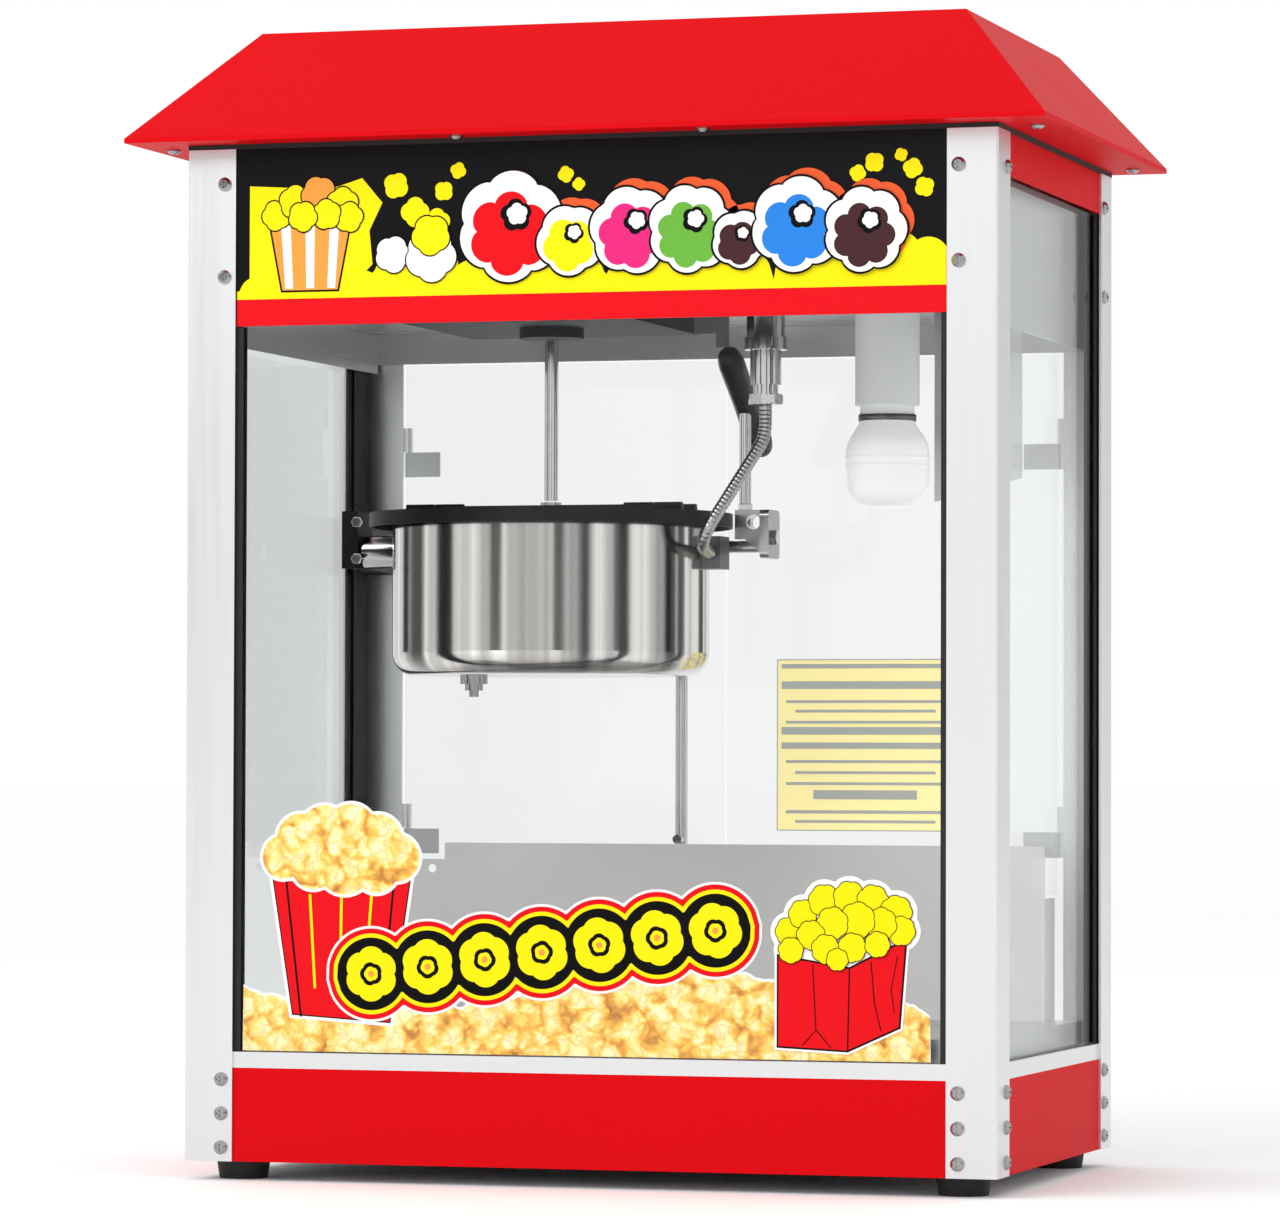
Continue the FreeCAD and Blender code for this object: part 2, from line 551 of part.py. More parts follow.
def round_outline(body, name, x, y, radius):
    """A sketch of one circle on the body's level plane, tied to the sheet."""
    sketch = body.newObject("Sketcher::SketchObject", name)
    sketch.AttachmentSupport = [(origin_plane(body, "XY_Plane"), "")]
    sketch.MapMode = "FlatFace"
    centre = FreeCAD.Vector(value(x), value(y), 0)
    sketch.addGeometry(Part.Circle(centre, FreeCAD.Vector(0, 0, 1), value(radius)), False)
    fix_point(sketch, 0, 3, x, y)
    held = sketch.addConstraint(Sketcher.Constraint("Radius", 0, value(radius)))
    sketch.setExpression(f"Constraints[{held}]", cells(radius))
    return sketch


def make_drawer():
    """Crumb drawer behind its own face in the rear panel, with its welded pull."""
    half = "drawer_width / 2"
    back = f"({INNER_Y} + drawer_face_thick)"
    floor = "(panel_sheet + drawer_lift)"
    box_end = f"({INNER_Y} + 0.3)"
    block = span_box("drawer_block", (f"-{half}", half), (f"{box_end} - drawer_length", box_end),
                     (floor, f"{floor} + drawer_height"))
    hollow = span_box("drawer_hollow", (f"-{half} + drawer_wall", f"{half} - drawer_wall"),
                      (f"{box_end} - drawer_length + drawer_wall", f"{box_end} - drawer_wall"),
                      (f"{floor} + drawer_wall", f"{floor} + drawer_height + 1"))
    face = span_box("drawer_face", (f"-{half} - drawer_face_margin", f"{half} + drawer_face_margin"),
                    (box_end, f"{box_end} + drawer_face_thick"),
                    ("1", "base_height - 2"))
    pull_z = "base_height / 2"
    outer = span_box("pull_outer", ("-pull_width / 2", "pull_width / 2"),
                     (f"{box_end} + drawer_face_thick", f"{back} + 0.3 + pull_depth"),
                     (f"{pull_z} - pull_height / 2", f"{pull_z} + pull_height / 2"))
    finger = span_box("pull_finger", ("-pull_width / 2 + 6", "pull_width / 2 - 6"),
                      (f"{box_end} + drawer_face_thick - 1", f"{back} + 0.3 + pull_depth - 2.5"),
                      (f"{pull_z} - pull_height", f"{pull_z} + pull_height"))
    pull = cut("drawer_pull", outer, finger)
    return [fuse("crumb_drawer", cut("drawer_tray", block, hollow), face, pull)]


def make_glass():
    """Front and side panes in the sill's grooves, and the seals on their upright edges."""
    front = f"{GLASS_FRONT}"
    pane_z = (f"{SILL_TOP} - glass_tuck + 0.3", "sign_bottom + glass_cover")
    side_z = (pane_z[0], "post_height - band_height + glass_cover")
    half_x, half_y = "(body_width / 2 - glass_edge)", "(body_depth / 2 - glass_edge)"
    nodes = [span_box("front_glass", (f"-{half_x}", half_x), (f"-{front}", f"-{front} + glass_thick"), pane_z)]
    for side, sign in SIDES.items():
        edges = sorted((f"{sign} * {GLASS_SIDE}", f"{sign} * ({GLASS_SIDE} - glass_thick)"), key=value)
        nodes.append(span_box(f"{side}_glass", edges, (f"-{half_y}", half_y), side_z))
    seals = []
    seal_out, seal_in = "post_leg + seal_show", "post_leg + seal_show - seal_width"
    grip = "(seal_wall + seal_gap)"
    for side, sign in SIDES.items():
        near = sorted((f"{sign} * (body_width / 2 - ({seal_out}))", f"{sign} * (body_width / 2 - ({seal_in}))"),
                      key=value)
        slot = sorted((f"{sign} * (body_width / 2 - ({seal_out}) - 1)",
                       f"{sign} * (body_width / 2 - glass_edge + seal_gap)"), key=value)
        strip = span_box(f"front_{side}_seal_strip", near,
                         (f"-{front} - {grip}", f"-{front} + glass_thick + {grip}"), (SILL_TOP, "sign_bottom"))
        groove = span_box(f"front_{side}_seal_slot", slot,
                          (f"-{front} - seal_gap", f"-{front} + glass_thick + seal_gap"),
                          (f"{SILL_TOP} - 1", "sign_bottom + 1"))
        seals.append(cut(f"front_{side}_seal", strip, groove))
        for end, way in (("front", -1), ("rear", 1)):
            wide = sorted((f"{sign} * ({GLASS_SIDE} + {grip})", f"{sign} * ({GLASS_SIDE} - glass_thick - {grip})"),
                          key=value)
            thin = sorted((f"{sign} * ({GLASS_SIDE} + seal_gap)",
                           f"{sign} * ({GLASS_SIDE} - glass_thick - seal_gap)"), key=value)
            inner = "post_leg + seal_show - seal_width"
            if end == "front":
                inner = "post_wall + glass_setback + glass_thick + seal_wall + 2 * seal_gap + 1"
            length = sorted((f"{way} * (body_depth / 2 - ({seal_out}))", f"{way} * (body_depth / 2 - ({inner}))"),
                            key=value)
            notch = sorted((f"{way} * (body_depth / 2 - ({seal_out}) - 1)",
                            f"{way} * (body_depth / 2 - glass_edge + seal_gap)"), key=value)
            top = "post_height - band_height"
            strip = span_box(f"{side}_{end}_seal_strip", wide, length, (SILL_TOP, top))
            groove = span_box(f"{side}_{end}_seal_slot", thin, notch, (f"{SILL_TOP} - 1", f"{top} + 1"))
            relief = drills(f"{side}_{end}_seal", lambda name: name == f"{side}_rear_sign" and end == "rear")
            seals.append(cut(f"{side}_{end}_seal", strip, groove, *relief))
    return nodes + [group("glass_seals", seals)]


def make_top_box():
    """Sign board, side boards and bands, control board and the ceiling over the kettle."""
    sign = cut("sign_board",
               span_box("sign_sheet", (f"-{INNER_X}", INNER_X), (f"-{INNER_Y}", f"-{INNER_Y} + sign_thick"),
                        ("sign_bottom", "post_height")),
               *drills("sign", lambda name: name.startswith("front_") and name.endswith(("_top", "_sign"))))
    bands = []
    for side, way in SIDES.items():
        edges = sorted((f"{way} * {INNER_X}", f"{way} * ({INNER_X} - panel_sheet)"), key=value)
        sheet = span_box(f"{side}_band_sheet", edges,
                         (f"-{INNER_Y} + sign_thick", f"{INNER_Y} - rear_board_inset - rear_board_thick"),
                         ("post_height - band_height", "post_height"))
        own = drills(f"{side}_band", lambda name: name.startswith(f"{side}_") and name.endswith("_top"))
        bands.append(cut(f"{side}_band", sheet, *own))
    board_x = f"({INNER_X} - board_inset)"
    rear_in = f"({INNER_Y} - rear_board_inset - rear_board_thick)"
    front_in = f"({GLASS_FRONT} - glass_thick - seal_wall - 2 * seal_gap)"
    boards = []
    for side, way in SIDES.items():
        edges = sorted((f"{way} * {board_x}", f"{way} * ({board_x} - board_thick)"), key=value)
        boards.append(span_box(f"{side}_board", edges, (f"-{front_in} + 1", rear_in),
                               (f"{side}_board_bottom", "board_top")))
    span_x, span_y = f"({board_x} - board_thick - ceiling_gap)", f"(-{front_in} + 1)"
    ceiling = new_body("ceiling_plate")
    pad(ceiling, "ceiling_pad", "XY_Plane",
        [(f"-{span_x}", span_y), (span_x, span_y), (span_x, f"{rear_in} - ceiling_gap"),
         (f"-{span_x}", f"{rear_in} - ceiling_gap")], "ceiling_sheet",
        holes=[("kettle_x", "kettle_y", "shaft_radius + 3"), ("outlet_x", "outlet_y", "lead_radius + 3"),
               ("lamp_x", "lamp_y", "socket_radius / 2")])
    place(ceiling, z="ceiling_level")
    return [sign, group("side_bands", bands), *boards, ceiling, make_rear_board(rear_in)]


def make_rear_board(rear_in):
    """Control board across the rear of the top box, with switch and inlet openings."""
    board_x = f"({INNER_X} - board_inset)"
    board = span_box("rear_board_sheet", (f"-{board_x}", board_x), (rear_in, f"{rear_in} + rear_board_thick"),
                     ("rear_board_bottom", "post_height"))
    openings = [span_box(f"switch_window_{index}",
                         (f"{index} * switch_pitch - switch_half_width",
                          f"{index} * switch_pitch + switch_half_width"),
                         (f"{rear_in} - 5", f"{rear_in} + 10"),
                         ("switch_level - switch_half_height", "switch_level + switch_half_height"))
                for index in (-1, 0, 1)]
    inlet = rod("inlet_window", ("inlet_x", f"{rear_in} - 5", "inlet_level"), "inlet_radius + 0.1", "20", ALONG_Y)
    return cut("rear_board", board, *openings, inlet)


def make_switches():
    """Three rocker switches on the control board, and the inlet gland beside them."""
    face = f"({INNER_Y} - rear_board_inset)"
    wide, high = "(switch_half_width - rocker_clear)", "(switch_half_height - rocker_clear - 1)"
    rockers = []
    for index, name in ((-1, "heat_rocker"), (0, "motor_rocker"), (1, "lamp_rocker")):
        body = new_body(f"{name}_cap")
        back, front = "(rocker_axis_depth - rocker_thick)", "(rocker_axis_depth + rocker_proud)"
        pad(body, f"{name}_pad", "YZ_Plane",
            [(back, f"-{high} + 2"), ("rocker_axis_depth", f"-{high}"), (front, f"-{high}"),
             (f"{front} - rocker_crown", "0"), (front, high), ("rocker_axis_depth", high),
             (back, f"{high} - 2")], f"2 * {wide}")
        axis = (f"{index} * switch_pitch - {wide}", f"{face} - rocker_axis_depth", "switch_level")
        place(body, *axis, turned_about((1, 0, 0), -value("rocker_off_angle")))
        pin = rod(f"{name}_pin", (f"{axis[0]} - rocker_pin_reach", *axis[1:]), "rocker_pin_radius",
                  f"2 * ({wide} + rocker_pin_reach)", ALONG_X)
        rockers.append(fuse(name, body, pin))
    profile = [("inlet_bore", "-inlet_inside"), ("inlet_radius", "-inlet_inside"), ("inlet_radius", "0"),
               ("inlet_collar", "0"), ("inlet_collar", "2"), ("inlet_radius - 2", "inlet_proud"),
               ("inlet_bore", "inlet_proud")]
    return rockers + [turned("inlet_gland", profile, ("inlet_x", face, "inlet_level"), ALONG_Y)]


def make_drive():
    """Gear motor over the ceiling, its plate and hub under it, and the drive shaft."""
    at = ("kettle_x", "kettle_y")
    level = "ceiling_level"
    slab = span_box("motor_plate_slab", ("kettle_x - motor_plate_width / 2", "kettle_x + motor_plate_width / 2"),
                    ("kettle_y - motor_plate_depth / 2", "kettle_y + motor_plate_depth / 2"),
                    (f"{level} - motor_plate_thick", level))
    hub = rod("hub_disc", (*at, f"{level} - motor_plate_thick - hub_drop"), "hub_radius", "hub_drop + 1")
    bore = rod("hub_bore", (*at, f"{level} - motor_plate_thick - hub_drop - 1"), "shaft_radius + shaft_play",
               "motor_plate_thick + hub_drop + 5")
    plate = cut("motor_plate", fuse("motor_plate_solid", slab, hub), bore)
    over = f"({level} + ceiling_sheet)"
    gearbox = span_box("gearbox_case", ("kettle_x - gearbox_width / 2", "kettle_x + gearbox_width / 2"),
                       ("kettle_y - gearbox_depth / 2", "kettle_y + gearbox_depth / 2"),
                       (over, f"{over} + gearbox_height"))
    can = rod("motor_can", ("kettle_x + motor_offset", "kettle_y", f"{over} + gearbox_height - 1"),
              "motor_radius", "motor_length")
    seat = rod("gearbox_bore", (*at, f"{over} - 1"), "shaft_radius + shaft_play", "shaft_rise + 2")
    motor = cut("gear_motor", fuse("gear_motor_solid", gearbox, can), seat)
    shaft = rod("drive_shaft", (*at, f"{CLAW_TOP} + shaft_gap"), "shaft_radius",
                f"{over} + shaft_rise - 1 - ({CLAW_TOP} + shaft_gap)")
    return [plate, motor, shaft]


def make_lamp():
    """White lamp socket with its threaded ring, the glass globe, and the shield beside it."""
    at = ("lamp_x", "lamp_y", "0")
    ring_low = "(socket_bottom - socket_ring_height)"
    socket = turned("lamp_socket", [("0", f"{ring_low} + 2"), ("socket_ring_radius - 3", f"{ring_low} + 2"),
                                    ("socket_ring_radius - 3", ring_low), ("socket_ring_radius", ring_low),
                                    ("socket_ring_radius", "socket_bottom"), ("socket_radius", "socket_bottom"),
                                    ("socket_radius", "ceiling_level"), ("0", "ceiling_level")], at)
    profile = [("0", "globe_bottom"), ("globe_flat_radius", "globe_bottom"), ("globe_radius", "globe_wide_bottom"),
               ("globe_radius", "globe_wide_top"), ("globe_neck_radius", "globe_shoulder"),
               ("globe_neck_radius", ring_low), ("0", ring_low)]
    globe = turned("lamp_globe", profile, at)
    soften(globe, "globe_flat_radius", ring_edge("globe_radius", "globe_wide_bottom"))
    shield = new_body("lamp_shield")
    pad(shield, "shield_pad", "XZ_Plane",
        [("shield_left", "shield_low"), ("shield_right", "shield_high"), ("shield_right", "ceiling_level"),
         ("shield_left", "ceiling_level")], "shield_thick")
    place(shield, y="shield_y")
    return [socket, globe, shield]


def make_supply():
    """The outlet under the ceiling with the plug in it, the armoured lead and its end cover."""
    at = ("outlet_x", "outlet_y", "0")
    profile = [("0", "ceiling_level"), ("0", "gland_bottom"), ("gland_radius", "gland_bottom"),
               ("gland_radius", "gland_top"), ("plug_neck_radius", "gland_top"),
               ("plug_neck_radius", "plug_step_level"), ("plug_radius", "plug_step_level"),
               ("plug_radius", "outlet_flange_bottom"), ("outlet_flange_radius", "outlet_flange_bottom"),
               ("outlet_flange_radius", "outlet_flange_top"), ("outlet_collar_radius", "outlet_flange_top"),
               ("outlet_collar_radius", "ceiling_level")]
    return [turned("lead_connector", profile, at), make_lead()]


def make_lead():
    """The armoured lead: straight runs joined by tangent arcs, swept by one round section."""
    shift = FreeCAD.Vector(0, value(SHIFT), value("foot_height"))
    points = [FreeCAD.Vector(*point) + shift for point in LEAD_ROUTE]
    edges, start = [], points[0]
    for before, corner, after in zip(points, points[1:], points[2:]):
        back, ahead = before - corner, after - corner
        runs = min(back.Length, ahead.Length)
        back.normalize()
        ahead.normalize()
        turn = math.pi - back.getAngle(ahead)
        reach = LEAD_BEND_SHARE * runs
        first, last = corner + back * reach, corner + ahead * reach
        radius = reach / math.tan(turn / 2)
        print(f"kettle_lead bend radius {radius:.1f}")
        toward = (back + ahead).normalize()
        middle = corner + toward * (math.hypot(radius, reach) - radius)
        edges.append(Part.LineSegment(start, first).toShape())
        edges.append(Part.Arc(first, middle, last).toShape())
        start = last
    edges.append(Part.LineSegment(start, points[-1]).toShape())
    path = Part.Wire(edges)
    section = Part.Wire([Part.Circle(points[0], points[1] - points[0], value("lead_radius")).toShape()])
    shape = path.makePipeShell([section], True, False)
    print(f"kettle_lead volume share {shape.Volume / (math.pi * value('lead_radius') ** 2 * path.Length):.4f}")
    lead = doc.addObject("Part::Feature", "kettle_lead")
    lead.Shape = shape
    return lead


def kettle_spot(z="0"):
    """A point on the kettle's own axis."""
    return "kettle_x", "kettle_y", z


def make_kettle():
    """Polished shell, inner pan, heater, thermostat bolt and the lead's terminal cover."""
    shell = turned("kettle_shell", [
        ("0", "kettle_bottom"), ("kettle_radius", "kettle_bottom"), ("kettle_radius", "rim_level"),
        ("kettle_radius - shell_wall", "rim_level"), ("kettle_radius - shell_wall", "kettle_bottom + shell_wall"),
        ("0", "kettle_bottom + shell_wall")], kettle_spot())
    soften(shell, "kettle_corner", ring_edge("kettle_radius", "kettle_bottom"))
    soften(shell, "kettle_corner - shell_wall",
           ring_edge("kettle_radius - shell_wall", "kettle_bottom + shell_wall"))
    pan = turned("kettle_pan", [
        ("0", "pan_floor - pan_wall"), ("pan_radius", "pan_floor - pan_wall"), ("pan_radius", "rim_level"),
        ("flange_radius", "rim_level"), ("flange_radius", "rim_level + flange_thick"),
        ("pan_radius - pan_wall", "rim_level + flange_thick"), ("pan_radius - pan_wall", "pan_floor"),
        ("0", "pan_floor")], kettle_spot())
    soften(pan, "pan_corner", ring_edge("pan_radius", "pan_floor - pan_wall"))
    soften(pan, "pan_corner - pan_wall", ring_edge("pan_radius - pan_wall", "pan_floor"))
    heater = doc.addObject("Part::Torus", "heater_ring")
    heater.setExpression("Radius1", cells("heater_radius"))
    heater.setExpression("Radius2", cells("heater_tube"))
    place(heater, *kettle_spot("heater_level"))
    nut_low = "(kettle_bottom - bolt_flange_thick - bolt_nut_thick)"
    bolt = turned("base_bolt", [
        ("0", f"{nut_low} - bolt_stud_length"), ("bolt_stud_radius", f"{nut_low} - bolt_stud_length"),
        ("bolt_stud_radius", nut_low), ("bolt_nut_radius", nut_low),
        ("bolt_nut_radius", "kettle_bottom - bolt_flange_thick"),
        ("bolt_flange_radius", "kettle_bottom - bolt_flange_thick"), ("bolt_flange_radius", "kettle_bottom"),
        ("0", "kettle_bottom")], ("kettle_x + bolt_offset", "kettle_y", "0"))
    block = span_box("terminal_block", ("terminal_left", "terminal_right"), ("terminal_front", "terminal_back"),
                     ("terminal_bottom", "terminal_top"))
    cover = cut("terminal_cover", block, kettle_outside("terminal_clear"))
    return [shell, pan, heater, bolt, cover]


def kettle_outside(label):
    """The kettle's outer cylinder as a cutter for pieces that seat against it."""
    return rod(label, kettle_spot("kettle_bottom - 10"), "kettle_radius + 0.02", "rim_level + 20 - kettle_bottom")


def make_lid():
    """Lid bridge with its hinge rods, and the two flaps that swing on them."""
    hinge_pin = "hinge_pin_radius"
    bridge_strip = lid_piece("bridge", "-bridge_half", "bridge_half")
    rods, loops, joints = [], [], []
    for index, way in enumerate((-1, 1)):
        y = f"kettle_y + {way} * lid_hinge_y"
        length = "(knuckle_offset + knuckle_length + knuckle_space + knuckle_length)"
        rods.append(rod(f"lid_rod_{index}", (f"kettle_x - {length}", y, LID_AXIS), hinge_pin,
                        f"2 * {length}", ALONG_X))
        for end, sign in SIDES.items():
            near = f"(knuckle_offset + knuckle_length + knuckle_space)"
            foot = (f"kettle_x + {sign} * {near} - {'knuckle_length' if sign < 0 else '0'}")
            loops.append(knuckle(f"bridge_knuckle_{index}_{end}", foot, y, "1", f"{-way}"))
    bridge = fuse("lid_bridge", cut("bridge_sheet", bridge_strip, rod(
        "bridge_bore", kettle_spot(f"{LID_UNDER} - 12"), "agitator_radius + bush_play", "30")),
        *rods, *loops)
    flaps = []
    for name, way in (("lid_flap_front", -1), ("lid_flap_rear", 1)):
        low, high = ("-(lid_radius + 1)", "-flap_edge") if way < 0 else ("flap_edge", "lid_radius + 1")
        leaf = lid_piece(name, low, high)
        y = f"kettle_y + {way} * lid_hinge_y"
        feet, bores = [], []
        for end, sign in SIDES.items():
            foot = f"kettle_x + {sign} * knuckle_offset - {'knuckle_length' if sign < 0 else '0'}"
            feet.append(knuckle(f"{name}_knuckle_{end}", foot, y, "1", str(way)))
            bores.append(rod(f"{name}_bore_{end}", (f"{foot} - 1", y, LID_AXIS), f"{hinge_pin} + hinge_play",
                             "knuckle_length + 2", ALONG_X))
        flaps.append(cut(name, fuse(f"{name}_solid", leaf, *feet), *bores))
    return [bridge, *flaps]


def lid_piece(name, low, high):
    """The part of the skirted lid disc between two lines across the kettle."""
    disc = turned(f"{name}_disc", [
        ("0", LID_UNDER), ("lid_radius - lid_sheet", LID_UNDER),
        ("lid_radius - lid_sheet", f"{LID_TOP} - lid_skirt"), ("lid_radius", f"{LID_TOP} - lid_skirt"),
        ("lid_radius", LID_TOP), ("0", LID_TOP)], kettle_spot())
    band = span_box(f"{name}_band", ("kettle_x - lid_radius - 1", "kettle_x + lid_radius + 1"),
                    (f"kettle_y + {low}", f"kettle_y + {high}"), (f"{LID_TOP} - lid_skirt - 1", f"{LID_TOP} + 1"))
    piece = doc.addObject("Part::Common", f"{name}_sheet")
    piece.Base = disc
    piece.Tool = band
    return piece


def knuckle(label, x, y, reach, way):
    """One hinge loop on a lid piece: a short barrel with a foot down to the sheet."""
    barrel = rod(f"{label}_barrel", (x, y, LID_AXIS), "knuckle_radius", "knuckle_length", ALONG_X)
    edges = sorted((f"{y} + {way} * {reach}", f"{y} + {way} * (knuckle_radius + 2)"), key=value)
    foot = span_box(f"{label}_foot", (x, f"{x} + knuckle_length"), edges, (f"{LID_TOP} - 0.5", LID_AXIS))
    return fuse(label, barrel, foot)


def make_agitator():
    """Stirring shaft with its claw over the lid and a bent blade low in the pan."""
    base = "(pan_floor + agitator_clear)"
    spindle = turned("agitator_spindle", [
        ("0", base), ("agitator_radius", base), ("agitator_radius", f"{LID_TOP} + claw_lift"),
        ("claw_radius", f"{LID_TOP} + claw_lift"), ("claw_radius", CLAW_TOP), ("0", CLAW_TOP)], kettle_spot())
    long = span_box("agitator_bar_long", ("kettle_x - blade_half", "kettle_x + blade_half"),
                    ("kettle_y - blade_width / 2", "kettle_y + blade_width / 2"), (base, f"{base} + blade_thick"))
    short = span_box("agitator_bar_short", ("kettle_x - blade_width / 2", "kettle_x + blade_width / 2"),
                     ("kettle_y - blade_half * 0.6", "kettle_y + blade_half * 0.6"), (base, f"{base} + blade_thick"))
    fins = [span_box(f"agitator_fin_{end}",
                     sorted((f"kettle_x + {sign} * blade_half", f"kettle_x + {sign} * (blade_half - 2.5)"), key=value),
                     ("kettle_y - blade_width / 2", "kettle_y + blade_width / 2"), (base, f"{base} + 16"))
            for end, sign in SIDES.items()]
    return fuse("agitator", spindle, long, short, *fins)


def make_hanger():
    """Fixed arm on the rear left post, and the kettle's boss and pin that turn in it."""
    arm_in, arm_out = "arm_x", "(arm_x - arm_block_width)"
    near = "(pivot_y - arm_block_half)"
    far = "(pivot_y + arm_block_half)"
    body = new_body("kettle_arm_bar")
    pad(body, "kettle_arm_pad", "XY_Plane",
        [(arm_in, near), (arm_in, far), ("arm_foot_inner", f"{INNER_Y} - arm_bar"), ("arm_foot_inner", INNER_Y),
         ("arm_foot_outer", INNER_Y), ("arm_foot_outer", f"{INNER_Y} - arm_bar"), (arm_out, far), (arm_out, near)],
        "arm_top - arm_bottom")
    place(body, z="arm_bottom")
    bore = rod("arm_bore", (f"{arm_out} - 5", "pivot_y", "pivot_level"), "pivot_radius + pivot_play",
               "arm_block_width + 10", ALONG_X)
    arm = cut("kettle_arm", body, bore)
    boss_x = "(arm_x + 1)"
    boss = rod("boss_stub", (boss_x, "pivot_y", "pivot_level"), "boss_radius", "boss_length", ALONG_X)
    pin = rod("boss_pin", (f"{arm_out} - 3", "pivot_y", "pivot_level"), "pivot_radius",
              "arm_block_width + 3 + 5", ALONG_X)
    seat = cut("pivot_boss", fuse("boss_solid", boss, pin), kettle_outside("boss_clear"))
    return [arm, seat]


def make_handle():
    """Cast bracket on the kettle's right side, upright stem, and the sloping round grip."""
    block = new_body("bracket_block")
    pad(block, "bracket_pad", "XZ_Plane",
        [("bracket_left", "bracket_bottom"), ("web_left", "bracket_bottom"), ("bracket_right", "face_bottom + 3"),
         ("bracket_right", "bracket_top"), ("bracket_left", "bracket_top")], "2 * bracket_half",
        holes=[("bracket_hole_x", "bracket_hole_level", "bracket_hole_radius")])
    place(block, y="pivot_y - bracket_half")
    face = new_body("bracket_plate")
    low, high = "(pivot_y - bracket_face_half)", "(pivot_y + bracket_face_half)"
    pad(face, "bracket_plate_pad", "YZ_Plane",
        [(low, "face_bottom"), (high, "face_bottom"), (high, "bracket_top"), (low, "bracket_top")],
        "bracket_face - bracket_right")
    soften(face, "4", lambda edge: isinstance(edge.Curve, Part.Line)
           and abs(edge.tangentAt(edge.FirstParameter).x) > 0.99)
    place(face, x="bracket_right")
    pin = rod("handle_pin", ("kettle_x + kettle_radius * 0.8", "pivot_y", "pivot_level + 1.5"),
              "handle_pin_radius", "bracket_right + 2 - (kettle_x + kettle_radius * 0.8)", ALONG_X)
    seat = rod("stem_seat", ("stem_x", "pivot_y", "bracket_bottom + 3"), "stem_radius", "30")
    solid = fuse("bracket_solid", block, face, pin)
    bracket = cut("handle_bracket", solid, seat, kettle_outside("bracket_clear"))
    centre = "(pivot_level + grip_centre_rise)"
    slope = turned_about((1, 0, 0), -90 - value("grip_tilt"))
    profile = [("0", "-grip_half - grip_radius"), ("grip_radius * 0.55", "-grip_half - grip_radius"),
               ("grip_radius", "-grip_half - grip_radius * 0.45"), ("grip_radius", "grip_half + grip_radius * 0.45"),
               ("grip_radius * 0.55", "grip_half + grip_radius"), ("0", "grip_half + grip_radius")]
    moulding = turned("grip_moulding", profile, ("stem_x", "pivot_y", centre), slope)
    stem = rod("handle_stem", ("stem_x", "pivot_y", "bracket_bottom + 3"), "stem_radius",
               f"{centre} - bracket_bottom - 3")
    socket = rod("grip_socket", ("stem_x", "pivot_y", f"{centre} - 30"), "stem_radius", "30")
    grip = cut("handle_grip", moulding, socket)
    return [bracket, stem, grip, make_stop()]


def make_stop():
    """Bent tab under the ceiling beside the upright handle."""
    plate = span_box("stop_plate", ("stop_left", "stop_right"), ("stop_y", "stop_y + stop_thick"),
                     ("ceiling_level - stop_drop * 0.6", "ceiling_level"))
    tongue = span_box("stop_tab", ("stop_right - stop_tongue", "stop_right"), ("stop_y", "stop_y + stop_thick"),
                      ("ceiling_level - stop_drop", "ceiling_level"))
    return fuse("handle_stop", plate, tongue)


def make_doors():
    """Two clear rear doors on pinned hinges, the long pull bar, and the dam plate before them."""
    nodes, fixed = [], []
    for side, sign in SIDES.items():
        edges = sorted((f"{sign} * door_meet", f"{sign} * (body_width / 2 - post_leg - door_side_gap)"), key=value)
        nodes.append(span_box(f"door_{side}", edges, ("door_face", DOOR_OUT), ("door_bottom", "door_top")))
        straps = []
        for spot in ("low", "high"):
            fixed.append(post_leaf(side, sign, spot))
            straps.append(door_leaf(side, sign, spot))
        nodes.append(group(f"door_{side}_straps", straps))
    nodes.append(group("door_hinges", fixed))
    bar = rod("pull_rod", ("bar_x", "bar_y", "bar_bottom"), "bar_radius", "bar_top - bar_bottom")
    posts = [rod(f"pull_post_{name}", ("bar_x", DOOR_OUT, level), "bar_post_radius", f"bar_y - {DOOR_OUT}", ALONG_Y)
             for name, level in (("low", "bar_bottom + bar_post_inset"), ("high", "bar_top - bar_post_inset"))]
    nodes.append(fuse("pull_bar", bar, *posts))
    return nodes + [make_dam()]


def post_leaf(side, sign, spot):
    """The post's half of a door hinge: leaf, upper barrel and the pin."""
    level = f"hinge_{spot}"
    axis_x, axis_y = f"{sign} * hinge_axis_x", "hinge_axis_y"
    edges = sorted((axis_x, f"{sign} * (hinge_axis_x + leaf_width)"), key=value)
    leaf = span_box(f"{side}_{spot}_post_leaf", edges, ("body_depth / 2", "body_depth / 2 + leaf_thick"),
                    (f"{level} + hinge_split", f"{level} + leaf_length / 2"))
    barrel = rod(f"{side}_{spot}_post_barrel", (axis_x, axis_y, f"{level} + hinge_split"), "hinge_radius",
                 "leaf_length / 2 - hinge_split")
    pin = rod(f"{side}_{spot}_pin", (axis_x, axis_y, f"{level} - leaf_length / 2"), "hinge_pin", "leaf_length")
    return fuse(f"{side}_{spot}_post_half", leaf, barrel, pin)


